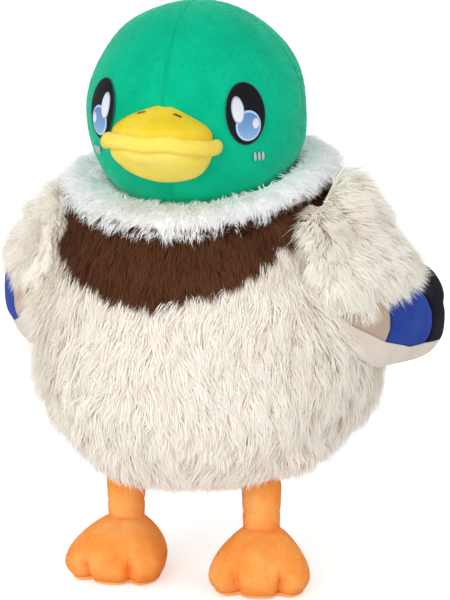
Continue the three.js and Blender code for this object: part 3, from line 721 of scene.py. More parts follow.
# Thickness of the leaf: half-thickness times the root of 1 minus the share to a power,
# bowed outward along the span, and pushed out of the body where it would lie inside it
def leafPoint(y, z, face, side, puff=0.0):
    shape = wingShape
    share = np.clip(leafShare(y, z), 0, 1)
    along = -2 * z / shape["span"] - 1
    bow = shape["bow"] * np.maximum(0, 1 - along**2)
    swell = np.sqrt(np.maximum(0, 1 - share ** (2 / shape["edgePower"])))
    x = face * shape["halfThickness"] * swell + bow + puff
    least = 0.0 if face < 0 else shape["clothRoom"]
    for _ in range(40):
        inside = bodyLevel(wingToWorld(x - least, y, z, side), shape["bodyGap"]) < 1
        if not inside.any():
            break
        x = x + np.where(inside, shape["step"], 0.0)
    width = shape["shoulderWidth"]
    rise = shape["shoulderRise"][side] * fade(z, -width, width) * bell(y - shape["shoulderAt"], width)
    return wingToWorld(x, y, z + rise, side)


# Height of the line between sleeve and panels
def bandLine(y):
    shape = wingShape
    share = np.clip(y / (0.8 * shape["chord"]), -0.4, 1.1)
    return -shape["span"] + shape["bandFront"] + (shape["bandRear"] - shape["bandFront"]) * share


# Upper and lower edge of the leaf at a place along the chord
def leafEdges(y):
    front, rear, count = wingOutline[:, 0].argmin(), wingOutline[:, 0].argmax(), len(wingOutline)
    lower = wingOutline[np.arange(front, front + (rear - front) % count + 1) % count]
    upper = wingOutline[np.arange(rear, rear + (front - rear) % count + 1) % count][::-1]
    return lineAt(lower, y), lineAt(upper, y)


# Fabric skin of the body, then its pile

bodyLook = {"length": 0.0165, "uneven": 0.35, "lift": 0.34, "liftSpread": 0.3, "width": 0.00085,
            "lock": 0.0095, "gather": 0.36, "swing": 1.1, "stray": 0.15, "droop": 0.08, "curl": 0.08}
chestLook = dict(bodyLook, length=0.0125, lift=0.4, lock=0.007, gather=0.3, uneven=0.25, swing=0.7)
bodyPile = {
    "count": 76000, "chestCount": 17000, "offHead": 0.006, "inCollar": 0.088, "chestInCollar": 0.080,
    "collarFoot": -0.050, "behindWing": -0.05, "pressed": 0.6, "pressedShare": 0.75, "pressedFade": 0.2,
    "pressedFrom": -0.01, "besideAt": -0.036, "besideWidth": 0.016, "besideLow": -0.112,
    "besideTop": -0.025, "besideLonger": 0.45, "besideRaise": 0.45,
    "shoulder": np.array((0.088, bodyAxisY - 0.002, 0.262)), "shoulderWidth": 0.024, "shoulderRaise": 0.65,
    "lowBelow": 0.09, "lowShorter": 0.22, "lowLeftShorter": 0.45, "leftOver": 0.05, "fade": 0.02,
}


# Places that the collar covers: above its foot and near enough to the neck's axis
def inCollar(points, reach):
    along, away = neckPlace(points)
    return (along > bodyPile["collarFoot"]) & (away < reach)


# The larger of what a formula gives in the frames of the two wings
def overWings(points, formula):
    places = [wingPlace(points, side) for _, side in sides]
    return np.max([formula(y, z) * (outward > bodyPile["behindWing"]) for outward, y, z in places], 0)


# Skin, its long pile, and the chest's
def makeBody():
    pile = bodyPile
    # The skin's pile value of 0.4 takes a colour towards the hairs' roots: painted shade under the pile
    skin = polarPiece("body_skin", skinSurface, 120, 160, creamSkin,
                      values={"pile": 0.4, "tone": lambda p: 0.5 + 0.2 * smoothNoise(p, 0.012, 3),
                              "band": lambda p: inChestBand(p) & (neckPlace(p)[1] > 0.078)})
    rideOn(skin, "trunk", ("body_fur_cover",))

    # Share of a place that lies behind a wing's leaf, where the pile is pressed flat
    def underWing(points):
        return overWings(points, lambda y, z: (y > pile["pressedFrom"])
                         * fade(leafShare(y, z), pile["pressedShare"], -pile["pressedFade"]))

    # Share of a place beside the front edge of a wing, which the pile closes round
    def besideWing(points):
        return overWings(points, lambda y, z: bell(y - pile["besideAt"], pile["besideWidth"])
                         * fade(z, pile["besideLow"], pile["fade"])
                         * fade(z, pile["besideTop"], -pile["fade"]))

    # Share of a place near a shoulder, where the pile is longer and stands up
    def nearShoulder(points):
        folded = np.stack([np.abs(points[:, 0]), points[:, 1], points[:, 2]], -1)
        return bell(np.linalg.norm(folded - pile["shoulder"], axis=1), pile["shoulderWidth"])

    # Share by which the pile is shorter low down, more so on the left
    def lowDown(points):
        shorter = pile["lowShorter"] + pile["lowLeftShorter"] * fade(points[:, 0], 0, pile["leftOver"])
        return shorter * fade(points[:, 2], pile["lowBelow"], -pile["fade"])

    look = dict(bodyLook)
    look["scale"] = lambda points: (1 - pile["pressed"] * underWing(points)) * (1 + nearShoulder(points)) \
        * (1 + pile["besideLonger"] * besideWing(points)) * (1 - lowDown(points))
    look["raise"] = lambda points: pile["shoulderRaise"] * nearShoulder(points) \
        + pile["besideRaise"] * besideWing(points)

    # Where the cream pile grows
    def keep(points):
        return ~inChestBand(points) & outsideHead(points, pile["offHead"]) \
            & ~inCollar(points, pile["inCollar"])

    rng = np.random.default_rng(21)
    roots, normals = scatter(skinSurface, int(pile["count"] * furCount), rng, keep, strict=True)
    comb = down + 0.35 * normals * np.array((1, 1, 0)) + 0.3 * noise3(roots, 0.09, 31)
    furPieces("body_fur", roots, normals, comb, look, creamFur, 41, "trunk")

    # Chest band: denser, shorter and darker, cut off along a clean line
    def keepChest(points):
        return inChestBand(points) & outsideHead(points, pile["offHead"]) \
            & ~inCollar(points, pile["chestInCollar"])

    roots, normals = scatter(skinSurface, int(pile["chestCount"] * furCount), rng, keepChest, strict=True)
    comb = down + 0.25 * noise3(roots, 0.06, 61)
    furPieces("chest_fur", roots, normals, comb, chestLook, brownFur, 51, "trunk", ("chest_band",))


makeBody()
print("body and chest ready")

# Collar: a ring round the tilted neck axis under white pile

collarShape = {
    "drop": 0.042, "ringRadius": 0.077, "halfWidth": 0.017, "halfHeight": 0.012, "skinInset": 0.0055,
    "gap": 0.002, "backIn": 0.008, "backFrom": 0.2, "backOver": 0.7, "backDrop": 0.006,
    "backDropFrom": -0.2, "innerIn": 0.005, "leftIn": 0.006, "leftAt": 0.45, "leftWidth": 0.5,
    "leftRise": 0.002, "rightDrop": 0.005, "rightFrom": -0.3,
}
collarLook = {"length": 0.0095, "uneven": 0.5, "lift": 0.36, "liftSpread": 0.45, "width": 0.0008,
              "lock": 0.0075, "gather": 0.4, "swing": 1.2, "stray": 0.2, "droop": 0.08, "curl": 0.1}
collarPile = {"count": 15000, "offHead": 0.003, "innerShorter": 0.35, "innerOver": 0.006,
              "backShorter": 0.3, "backFrom": 0.03, "leftShorter": 0.3,
              "leftSpot": np.array((0.07, -0.05, 0.26)), "leftWidth": 0.035, "combTurn": 0.004}


# Ring round the neck axis, whose section is an oval kept off the head's ball.
# It is drawn in behind and on its left front, and lower behind and on its right
def collarSurface(turn, rise):
    shape = collarShape
    around, section = 2 * np.pi * turn, 2 * np.pi * rise
    behind = fade(np.sin(around), shape["backFrom"], shape["backOver"])
    leftFront = bell(np.mod(around + np.pi, 2 * np.pi) - np.pi + shape["leftAt"], shape["leftWidth"])
    rightBack = np.clip(-np.cos(around), 0, 1) * fade(np.sin(around), shape["rightFrom"], 1)
    away = shape["ringRadius"] - shape["backIn"] * behind - shape["leftIn"] * leftFront \
        + (shape["halfWidth"] - shape["skinInset"]) * np.cos(section) \
        - shape["innerIn"] * np.clip(-np.cos(section), 0, 1)
    along = -shape["drop"] + (shape["halfHeight"] - shape["skinInset"]) * np.sin(section) \
        - shape["backDrop"] * fade(np.sin(around), shape["backDropFrom"], 1) \
        + shape["leftRise"] * np.cos(around) - shape["rightDrop"] * rightBack
    y, z = turned(away * np.sin(around), along, neckTilt)
    return clearOfHead(points3(away * np.cos(around), y, z) + headBall["middle"], shape["gap"])


# A closed tube: rings round a section, wrapped both ways
def ringPiece(name, surface, across, around, material, values=None):
    turn, rise = np.meshgrid(np.arange(around) / around, np.arange(across) / across, indexing="ij")
    row, column = np.meshgrid(np.arange(around), np.arange(across), indexing="ij")
    nextRow, nextColumn = (row + 1) % around, (column + 1) % across
    faces = np.stack([row * across + column, nextRow * across + column,
                      nextRow * across + nextColumn, row * across + nextColumn], -1).reshape(-1, 4)
    return addPiece(name, surface(turn, rise), [faces], material, values=values)


# Ring of skin under white pile, combed outward, and inward at its inner rim
def makeCollar():
    pile = collarPile
    # The skin's pile value of 0.4 takes a colour towards the hairs' roots: painted shade under the pile
    skin = ringPiece("collar_skin", collarSurface, 28, 160, whiteFur,
                     values={"pile": 0.4, "tone": lambda p: 0.5 + 0.2 * smoothNoise(p, 0.01, 4)})
    rideOn(skin, "collar", ("neck_collar",))
    roots, normals = scatter(collarSurface, int(pile["count"] * furCount), np.random.default_rng(71),
                             lambda p: outsideHead(p, pile["offHead"]), cells=(240, 60), strict=True)
    ray = roots - headBall["middle"]
    away = unit(ray - (ray @ neckAxis)[:, None] * neckAxis)
    turnsAt = collarShape["ringRadius"] - pile["combTurn"]
    inner = fade(neckPlace(roots)[1], turnsAt, -pile["combTurn"])[:, None]
    outerComb, innerComb = away * 0.9 - neckAxis, neckAxis * 0.5 - away * 0.5
    comb = outerComb * (1 - inner) + innerComb * inner + 0.3 * noise3(roots, 0.03, 81)

    # Shorter inside the ring, behind, and at the left shoulder
    def scale(points):
        inside = fade(neckPlace(points)[1], collarShape["ringRadius"], -pile["innerOver"])
        behind = fade(points[:, 1] - headBall["middle"][1], pile["backFrom"], pile["backFrom"])
        left = bell(np.linalg.norm(points - pile["leftSpot"], axis=1), pile["leftWidth"])
        return (1 - pile["innerShorter"] * inside) * (1 - pile["backShorter"] * behind) \
            * (1 - pile["leftShorter"] * left)

    furPieces("collar_fur", roots, normals, comb, dict(collarLook, scale=scale), whiteFur, 72, "collar")


makeCollar()
print("collar ready")

# Head: a ball of four gores under short pile

headShape = {"inset": 0.0008, "seamDepth": 0.0005, "seamWidth": 0.0012, "lumps": 0.0006, "lumpLength": 0.05,
             "pileCount": 20000}


# Angle from the nearest of the four seams, which lie in front, behind and at the sides
def goreShare(direction):
    turn = np.arctan2(direction[..., 1], direction[..., 0]) / (math.pi / 2)
    return np.abs(turn - np.round(turn)) * (math.pi / 2) * np.hypot(direction[..., 0], direction[..., 1])


# Ball less the seams' grooves, with soft lumps
def headSurface(turn, rise):
    climb, angle = roundAngles(turn, rise)
    direction = points3(np.cos(climb) * np.cos(angle), np.cos(climb) * np.sin(angle), np.sin(climb))
    groove = bell(goreShare(direction) * headBall["radius"], headShape["seamWidth"])
    radius = headBall["radius"] - headShape["inset"] - headShape["seamDepth"] * groove \
        + headShape["lumps"] * smoothNoise(direction * headBall["radius"], headShape["lumpLength"], 91)
    return headBall["middle"] + direction * radius[..., None]


# Green ball under short pile
def makeHead():
    # Darker along the four seams
    def seamValue(points):
        direction = unit(points - headBall["middle"])
        return 0.3 * bell(goreShare(direction) * headBall["radius"], 0.6 * headShape["seamWidth"])

    rideOn(polarPiece("head_skin", headSurface, 120, 160, greenPlush, values={"seam": seamValue}), "head",
           ("head_cover",))
    pileOver("head_pile", headSurface, headShape["pileCount"], down, (0.8, 0.05), pileLook, greenPlush,
             (101, 103, 102), "head")


makeHead()
print("head ready")

# Bill: two padded domes with a rolled lip between them

billShape = {
    "pitch": math.radians(8), "roll": math.radians(2), "ahead": 0.070, "halfWidth": 0.0315,
    "halfLength": 0.031, "lipHeight": -0.022, "lipThickness": 0.0095, "lipOverhang": 0.0064,
    "heights": {1: 0.0258, -1: 0.0247}, "domePowers": {1: 1.35, -1: 0.95}, "frontShare": 0.45,
    "sunk": 0.0022, "creaseDepth": 0.0013, "creaseWidth": 0.0028, "lumps": 0.0006, "lumpLength": 0.022,
    "rollStart": 0.25, "rollAngle": 2.2, "rollShare": 0.11, "intoHead": -0.002, "fillingInset": 0.002,
    "pileCount": 5000,
}
lipWaves = ((0.0007, 5, 0.6), (0.0005, 9, 0.0))  # height, number round the lip and start of each


# Bill frame to the world: rolled, then tilted up about the head's middle
def billToWorld(points):
    roll, lip = math.sin(billShape["roll"]), billShape["lipHeight"]
    x, y, z = points[..., 0], points[..., 1], points[..., 2]
    x, z = x + (z - lip) * roll, z - x * roll
    y, z = turned(y, z, -billShape["pitch"])
    return clearOfHead(points3(x, y, z) + headBall["middle"], billShape["intoHead"])


# Height of a dome: height times sin(climb), falling in a straight line towards the front
def domeRise(height, climb, ahead):
    shape = billShape
    least, half = shape["frontShare"], shape["halfLength"]
    fall = least + (1 - least) * (ahead + half) / (2 * half)
    return height * np.maximum(0, np.sin(climb)) * fall


# One half of the bill: an oval whose height is a dome that
# falls towards the front, creased along its middle
def billHalf(turn, rise, way, inset=0.0):
    shape = billShape
    climb, angle = roundAngles(turn, rise)
    share = np.abs(np.cos(climb)) ** shape["domePowers"][way]
    ahead = (shape["halfLength"] - inset) * share * np.sin(angle)
    x = (shape["halfWidth"] - inset) * share * np.cos(angle)
    height = domeRise(shape["heights"][way] - inset, climb, ahead)
    if way > 0:
        height = height - shape["creaseDepth"] * bell(x, shape["creaseWidth"]) * fade(height, 0, 0.012)
    start = shape["lipHeight"] + way * (shape["lipThickness"] / 2 - shape["sunk"])
    height = height + shape["sunk"] * fade(np.sin(climb), 0, 0.15)
    points = points3(x, ahead - shape["ahead"], start + way * height)
    lumps = shape["lumps"] * smoothNoise(points, shape["lumpLength"], 111)
    points[..., 2] += way * lumps * fade(height, 0, 0.01)
    return billToWorld(points)


# The lip: flat under each dome, then a roll of thread-pulled plush round its rim, a little wavy
def lipSurface(turn, rise):
    shape = billShape
    angle = 2 * np.pi * turn
    flat, roll, most = shape["rollStart"], shape["rollShare"], shape["rollAngle"]
    bend = -most + 2 * most * fade(rise, flat, 1 - 2 * flat)
    towards = np.minimum(rise, 1 - rise) / flat
    share = np.where(towards < 1, towards * (1 - roll + roll * math.cos(most)),
                     1 - roll + roll * np.cos(bend))
    z = shape["lipHeight"] + shape["lipThickness"] / 2 \
        * np.where(towards < 1, np.sign(rise - 0.5) * math.sin(most), np.sin(bend))
    x = (shape["halfWidth"] + shape["lipOverhang"]) * share * np.cos(angle)
    y = (shape["halfLength"] + shape["lipOverhang"]) * share * np.sin(angle) - shape["ahead"]
    z = z + share**4 * sum(height * np.sin(count * angle + start) for height, count, start in lipWaves)
    return billToWorld(points3(x, y, z))


# Two domes, each round a filling of its own, and the lip between them
def makeBill():
    look = dict(pileLook, length=0.0009, width=0.0004)
    parts = (("bill_upper", lambda t, r: billHalf(t, r, 1), amberPlush, 1),
             ("bill_lower", lambda t, r: billHalf(t, r, -1), yellowPlush, -1),
             ("bill_lip", lipSurface, lipPlush, 1))
    for index, (name, surface, material, way) in enumerate(parts):
        skin = polarPiece(f"{name}_skin", surface, 72, 140, material, values={"seam": 0}, mend=way < 0)
        rideOn(skin, "head", (name,))
        if name != "bill_lip":
            filling = lambda t, r: billHalf(t, r, way, billShape["fillingInset"])
            inside = polarPiece(f"{name}_filling_fibre", filling, 36, 70, fillingFibre, mend=way < 0)
            rideOn(inside, "head", (f"{name}_filling",))
        pileOver(f"{name}_pile", surface, billShape["pileCount"], np.array((0, -1.0, 0)), (0.5, 0.03), look,
                 material, (121 + index, 125, 131 + index), "head", keep=lambda p: outsideHead(p, 0.0006),
                 outward=way)


makeBill()
print("bill ready")

# Embroidery: ovals and bars of satin stitch that follow the surface under
# them. Side and up are the degrees of their middles from straight ahead

eyeOvals = (
    {"name": "eye_black", "side": 41.9, "up": 5.0, "tilt": 4, "halfWidth": 0.0139, "halfHeight": 0.0205,
     "layer": 0, "material": blackThread},
    {"name": "eye_iris", "side": 43.0, "up": -1.0, "tilt": 4, "halfWidth": 0.0088, "halfHeight": 0.0097,
     "layer": 1, "material": blueThread},
    {"name": "eye_highlight_large", "side": 37.2, "up": 6.9, "tilt": 6, "halfWidth": 0.0042,
     "halfHeight": 0.0087, "layer": 2, "material": whiteThread},
    {"name": "eye_highlight_small", "side": 46.8, "up": 0.0, "tilt": 0, "halfWidth": 0.0025,
     "halfHeight": 0.0036, "layer": 2, "material": whiteThread},
)
cheekBars = {"side": 51.0, "up": -17.3, "tilt": 16, "pitch": 0.0031, "halfWidth": 0.0009,
             "halfHeight": 0.0032, "layer": 0, "material": greyThread}
nostrilBar = {"side": 0.0118, "ahead": -0.009, "halfWidth": 0.0028, "halfLength": 0.0006, "lift": 0.0002,
              "thickness": 0.0006, "under": -0.4}
faceTurn = {1.0: 0.8, -1.0: -2.4}  # the stitches of each side stand this much further round
stitchLift = {"under": 0.0003, "thickness": 0.0005, "step": 0.00028, "edgePower": 0.6, "topPower": 0.5}


# Places on the head's ball at a distance from its middle: an offset across and up from a direction
def onHead(across, along, oval, side, far):
    x, z = turned(across, along, math.radians(oval["tilt"]))
    spot = unit(points3(x, -headBall["radius"], z))
    y, z = turned(spot[..., 1], spot[..., 2], math.radians(-oval["up"]))
    x, y = turned(spot[..., 0], y, math.radians(oval["side"]))
    return headBall["middle"] + points3(side * x, y, z) * far[..., None]


# A padded oval: flat underneath, its top rising by a root near the rim
def stitchedOval(name, oval, side, rings=18, around=64):
    base = headBall["radius"] + stitchLift["under"] + oval["layer"] * stitchLift["step"]

    # Oval of cos(climb) to a power round its middle, raised by the root of sin(climb) on top
    def surface(turn, rise):
        climb, angle = roundAngles(turn, rise)
        reach = np.abs(np.cos(climb)) ** stitchLift["edgePower"]
        height = (climb > 0) * np.abs(np.sin(climb)) ** stitchLift["topPower"] * stitchLift["thickness"]
        x, y = reach * np.cos(angle) * oval["halfWidth"], reach * np.sin(angle) * oval["halfHeight"]
        return onHead(x, y, oval, side, base + height)

    rise = np.linspace(0, 1, rings + 1)[1:-1]
    reach = np.abs(np.cos(np.pi * (rise - 0.5))) ** stitchLift["edgePower"]
    upward = reach[:, None] * np.sin(2 * np.pi * np.arange(around) / around)[None, :]
    shares = np.concatenate([[0], np.repeat(reach, around), [0]])
    heights = np.concatenate([[0.5], 0.5 + 0.5 * upward.ravel(), [0.5]])
    return polarPiece(name, surface, rings, around, oval["material"],
                      values={"pile": shares, "tone": heights}, mend=True)


# A short bar that lies on the bill's upper dome
def nostrilSurface(turn, rise, side):
    bill, bar = billShape, nostrilBar
    climb, angle = roundAngles(turn, rise)
    reach = np.abs(np.cos(climb)) ** stitchLift["edgePower"]
    x = bar["side"] + reach * np.cos(angle) * bar["halfWidth"]
    ahead = bar["ahead"] + reach * np.sin(angle) * bar["halfLength"]
    share = np.hypot(x / bill["halfWidth"], ahead / bill["halfLength"])
    dome = domeRise(bill["heights"][1], np.arccos(share ** (1 / bill["domePowers"][1])), ahead)
    z = bill["lipHeight"] + bill["lipThickness"] / 2 + dome + bar["lift"]
    z = z + np.where(climb > 0, np.abs(np.sin(climb)) ** stitchLift["topPower"],
                     bar["under"]) * bar["thickness"]
    return billToWorld(points3(side * x, ahead - bill["ahead"], z))


# Stitched pieces of one side
def makeEmbroidery(sideName, side):
    for oval in eyeOvals:
        piece = stitchedOval(f"{oval['name']}_stitches_{sideName}",
                             dict(oval, side=oval["side"] + faceTurn[side]), side)
        rideOn(piece, "head", (f"{oval['name']}_{sideName}",))
    for bar in range(3):
        shift = math.degrees((bar - 1) * cheekBars["pitch"] / headBall["radius"])
        oval = dict(cheekBars, side=cheekBars["side"] + faceTurn[side] + shift)
        piece = stitchedOval(f"cheek_bar_{bar + 1}_{sideName}", oval, side, 12, 24)
        rideOn(piece, "head", (f"cheek_stitch_{bar + 1}_{sideName}",))
    piece = polarPiece(f"nostril_bar_{sideName}", lambda t, r: nostrilSurface(t, r, side), 12, 24, darkThread,
                       mend=True)
    rideOn(piece, "head", (f"nostril_stitch_{sideName}",))


for sideName, side in sides:
    makeEmbroidery(sideName, side)
print("embroidery ready")

# Wing panels, lining and sleeve

panelShape = {"thickness": 0.0022, "rimThickness": 0.0002, "puff": 0.001, "seamDip": 0.0022,
              "seamWidth": 0.0022, "seamShade": 0.6, "seamShadeWidth": 0.0012, "edgeGap": 1e-4,
              "tipTop": -0.040, "underSleeve": 0.004}
liningShape = {"rows": 71, "columns": 41, "strip": 16, "thickness": 0.0018, "stripThickness": 0.0008,
               "overHem": 0.0008, "top": 0.0, "stripPower": 1.5}
sleeveShape = {"inset": -0.002, "thickness": 0.002, "innerInset": 0.001, "innerStrip": 0.02,
               "edgeGap": 1e-3, "count": 15500, "innerShare": 0.1, "fringe": {1.0: 0.008, -1.0: 0.012},
               "combFront": {1.0: 0.3, -1.0: -0.2}, "topLonger": {1.0: 0.4, -1.0: 0.0}, "topWidth": 0.014,
               "cornerShorter": {1.0: 0.35, -1.0: 0.55}, "rearShorter": 0.3, "topRaise": 0.25,
               "middleRaise": 0.18, "hairReach": 0.0155, "fringeRoom": 0.004, "cornerAt": -0.012,
               "cornerTop": -0.045, "rearFrom": 0.05, "frontFrom": -0.005, "frontOver": 0.025,
               "flowFrom": (-0.12, 0.10), "flowAlong": 0.6, "stir": 0.25}


# Grid over one panel of the leaf, and how far each place of it lies from the panel's nearest seam
def panelGrid(start, end, top, bottom):
    a = np.linspace(0.0, 1.0, 49)[:, None]
    b = np.linspace(0.0, 1.0, 41)[None, :]
    y = 0.03 + 0 * a * b
    for _ in range(12):
        z = top(y) + (bottom(y) - top(y)) * b
        y = 0.5 * y + 0.5 * (start(z) + (end(z) - start(z)) * a)
    gap = np.minimum(np.minimum(a, 1 - a) * np.abs(end(z) - start(z)),
                     np.minimum(b, 1 - b) * np.abs(bottom(y) - top(y)))
    return y, z, gap


# Cloths of one wing, then the pile of its sleeve
def makeWing(sideName, side):
    body = f"wing_{sideName}"
    yaw, _ = wingAngles(side)
    outward = np.array((side * math.cos(yaw), -math.sin(yaw), 0.0))
    chordWay = np.array((side * math.sin(yaw), math.cos(yaw), 0.0))
    panel, lining, sleeve = panelShape, liningShape, sleeveShape

    # Panels: each between two seams along the chord, a lower and an upper edge
    sleeveEnd = lambda y: np.minimum(bandLine(y) + panel["underSleeve"], leafEdges(y)[1])
    tipTop = lambda y: np.minimum(panel["tipTop"], leafEdges(y)[1])
    hem = lambda y: np.maximum(lineAt(hemLine, y), leafEdges(y)[0])
    frontEdge = lambda z: chordFront + panel["edgeGap"] + 0 * z
    taupeSeam = lambda z: lineAt(taupeLine, z)
    blueSeam = lambda z: lineAt(blueLine, z)
    rearEdge = lambda z: np.interp(z, rearPoints[:, 1], rearPoints[:, 0]) - panel["edgeGap"]
    for name, start, end, top, material in (("taupe_panel", frontEdge, taupeSeam, sleeveEnd, taupePlush),
                                            ("blue_panel", taupeSeam, blueSeam, sleeveEnd, bluePlush),
                                            ("black_tip", blueSeam, rearEdge, tipTop, blackPlush)):
        y, z, gap = panelGrid(start, end, top, hem)
        rim = rimFall(y, z)
        puff = panel["puff"] - panel["seamDip"] * bell(gap, panel["seamWidth"]) * rim
        thickness = panel["rimThickness"] + (panel["thickness"] - panel["rimThickness"]) * rim
        piece = closedSheet(f"wing_{name}_cloth_{sideName}", leafPoint(y, z, 1.0, side, puff), -outward,
                            thickness[..., None], material,
                            {"seam": panel["seamShade"] * bell(gap, panel["seamShadeWidth"])})
        rideOn(piece, body, (f"wing_{name}_{sideName}",))

    # Lining: over the inner face, round the lower rim, and up the outer face to the panels' hem
    rows, columns, strip = lining["rows"], lining["columns"], lining["strip"]
    a = np.linspace(0.0, 1.0, rows)[:, None]
    b = np.linspace(0.0, 1.0, columns)[None, :]
    eased = 0.5 - 0.5 * np.cos(np.pi * a)
    y = chordFront + panel["edgeGap"] + (chordRear - chordFront - 2 * panel["edgeGap"]) * eased + 0 * b
    low, high = leafEdges(y)
    top = np.minimum(high, lining["top"])
    across = top + (low - top) * np.sin(b * np.pi / 2)
    inner = leafPoint(y, across, -1.0, side)
    climb = b[:, 1:strip + 1] ** lining["stripPower"] / b[0, strip] ** lining["stripPower"]
    y1, low1 = y[:, :strip], low[:, :strip]
    outer = leafPoint(y1, low1 + (hem(y1) + lining["overHem"] - low1) * climb, 1.0, side)
    way = np.concatenate([np.tile(outward, (columns - 1, 1)), [(0, 0, 1.0)], np.tile(-outward, (strip, 1))])
    thick = panel["rimThickness"] + (lining["thickness"] - panel["rimThickness"]) * rimFall(y, across)
    thick = np.concatenate([thick, np.full((rows, strip), lining["stripThickness"])], 1)
    piece = closedSheet(f"wing_lining_cloth_{sideName}", np.concatenate([inner, outer], 1), way[None, :, :],
                        thick[..., None], liningPlush, {"seam": 0})
    rideOn(piece, body, (f"wing_lining_{sideName}",))

    bottom = np.clip(bandLine(y), low, high)
    outer = leafPoint(y, high + (bottom - high) * b, 1.0, side, sleeve["inset"])
    # The cloth's pile value of 0.4 takes a colour towards the hairs' roots: painted shade under the pile
    piece = closedSheet(f"wing_sleeve_cloth_{sideName}", outer, -outward, sleeve["thickness"], creamFur,
                        {"pile": 0.4, "tone": 0.5})
    rideOn(piece, body, (f"wing_fur_sleeve_{sideName}",))

    # Pile of the sleeve: over its outer face, and over a strip of the inner one behind the front edge
    def sleeveFace(turn, rise, start, end, face):
        y = start + (end - start) * turn
        low, high = leafEdges(y)
        bottom = np.clip(lineAt(fringeLine, y) + sleeve["fringe"][side], low, high)
        return leafPoint(y, high + (bottom - high) * rise, face, side,
                         sleeve["inset" if face > 0 else "innerInset"])

    rng = np.random.default_rng(151 if side > 0 else 152)
    front, found = chordFront + sleeve["edgeGap"], []
    for end, face, share in ((chordRear - sleeve["edgeGap"], 1.0, 1 - sleeve["innerShare"]),
                             (chordFront + sleeve["innerStrip"], -1.0, sleeve["innerShare"])):
        roots, normals = scatter(lambda t, r: sleeveFace(t, r, front, end, face),
                                 int(sleeve["count"] * share * furCount), rng, cells=(100, 60))
        flip = np.sign(dots(normals, outward)) * face
        found.append((roots, normals * np.where(flip == 0, 1, flip)))
    roots, normals = (np.concatenate(both) for both in zip(*found))
    _, y, z = wingPlace(roots, side)
    nearFront = fade(y, sleeve["frontFrom"], -sleeve["frontOver"])[:, None]
    fromY, fromZ = sleeve["flowFrom"]
    flow = (y[:, None] - fromY) * sleeve["flowAlong"] * chordWay + (z[:, None] - fromZ) * -down
    flow, atFront = unit(flow), down - sleeve["combFront"][side] * chordWay
    comb = flow * (1 - nearFront) + nearFront * atFront + 0.2 * outward \
        + sleeve["stir"] * noise3(roots, 0.05, 161)

    # Share of a place near the leaf's upper edge, falling off behind
    def atTop(points):
        _, y, z = wingPlace(points, side)
        return bell(z - leafEdges(y)[1], sleeve["topWidth"]) * fade(y, 0.03, -0.03)

    # Longer along the top, shorter at the fringe, behind and at the lower front corner
    def scale(points):
        _, y, z = wingPlace(points, side)
        room = (z - lineAt(fringeLine, y) + sleeve["fringeRoom"]) / sleeve["hairReach"]
        corner = fade(y, sleeve["cornerAt"], -0.01) * fade(z, sleeve["cornerTop"], 0.02)
        return np.clip(room, 0.5, 1) * (1 + sleeve["topLonger"][side] * atTop(points)) \
            * (1 - sleeve["rearShorter"] * fade(y, sleeve["rearFrom"], 0.02)) \
            * (1 - sleeve["cornerShorter"][side] * corner)

    # Steeper along the top and over the middle
    def lift(points):
        _, y, z = wingPlace(points, side)
        onMiddle = np.clip((z - lineAt(fringeLine, y)) / 0.02 - 0.3, 0, 1) \
            * fade(y, sleeve["rearFrom"], -0.03)
        return sleeve["topRaise"] * atTop(points) + sleeve["middleRaise"] * onMiddle

    look = dict(bodyLook, scale=scale)
    look["raise"] = lift
    furPieces(f"wing_sleeve_fur_{sideName}", roots, normals, comb, look, creamFur, 153 + int(side), body)


for sideName, side in sides:
    makeWing(sideName, side)
print("wings ready")

# Legs: padded tubes with a ball at the hip and one in the foot

legShape = {"side": 0.047, "forward": 0.038, "hipHeight": 0.064, "hipRadius": 0.013, "ankleHeight": 0.038,
            "ankleRadius": 0.012, "ballShare": 0.3, "crease": 0.0005, "creaseWidth": 0.0016,
            "creaseAt": 0.62, "pileCount": 2600}
footShape = {"toeLength": 0.046, "toeHalfWidth": 0.032, "sole": 0.003, "gap": -0.0003, "widest": 0.0115,
             "under": 0.42, "outPower": 1.3, "upPower": 1.15, "crown": 1.12, "notchTop": 0.5, "dent": 0.003,
             "dentWidth": 0.0018, "dentFrom": -0.02, "soleShare": 0.99, "soleEdge": 0.12,
             "turned": {1.0: math.radians(13), -1.0: 0.0}, "fillingInset": 0.003, "fillingUp": 0.0012,
             "pileCount": 5500, "pileFrom": 0.0045}
footOutlineShares = ((0, -1), (0.3, -0.96), (0.46, -0.82), (0.76, -0.9), (1, -0.7), (1.02, -0.42),
                     (0.92, -0.1), (0.76, 0.26), (0.46, 0.5), (0, 0.6))
notchShares = (0.46, -0.82)
smoothShares = (0.52, -0.95)
footSizes = np.array((footShape["toeHalfWidth"], footShape["toeLength"]))


# Tube between two balls: its radius goes from the ankle's to the hip's, with a crease above the foot
def legSurface(turn, rise):
    shape = legShape
    angle = 2 * np.pi * turn
    length = shape["hipHeight"] - shape["ankleHeight"]
    ball = shape["ballShare"]
    climb = np.where(rise < ball, rise / ball - 1,
                     np.where(rise > 1 - ball, (rise - 1 + ball) / ball, 0)) * np.pi / 2
    middle = fade(rise, ball, 1 - 2 * ball)
    radius = shape["ankleRadius"] + (shape["hipRadius"] - shape["ankleRadius"]) * middle
    height = -length + length * middle + radius * np.sin(climb)
    crease = shape["crease"] * bell(height + length * shape["creaseAt"], shape["creaseWidth"])
    reach = radius * np.cos(climb) - crease
    return points3(reach * np.cos(angle), reach * np.sin(angle), height + shape["hipHeight"])


# Outline of the foot, with its notches between the toes or with those smoothed out
def footRim(notched):
    half = [smoothShares if pair == notchShares and not notched else pair for pair in footOutlineShares]
    return closedCurve(half + [(-x, y) for x, y in half[-2:0:-1]], 720) * footSizes


footOutline, smoothOutline = footRim(True), footRim(False)


# Place on one of the foot's outlines
def alongRim(outline, turn):
    place = (turn % 1) * len(outline)
    index = place.astype(int) % len(outline)
    t = (place - np.floor(place))[..., None]
    return outline[index] * (1 - t) + outline[(index + 1) % len(outline)] * t


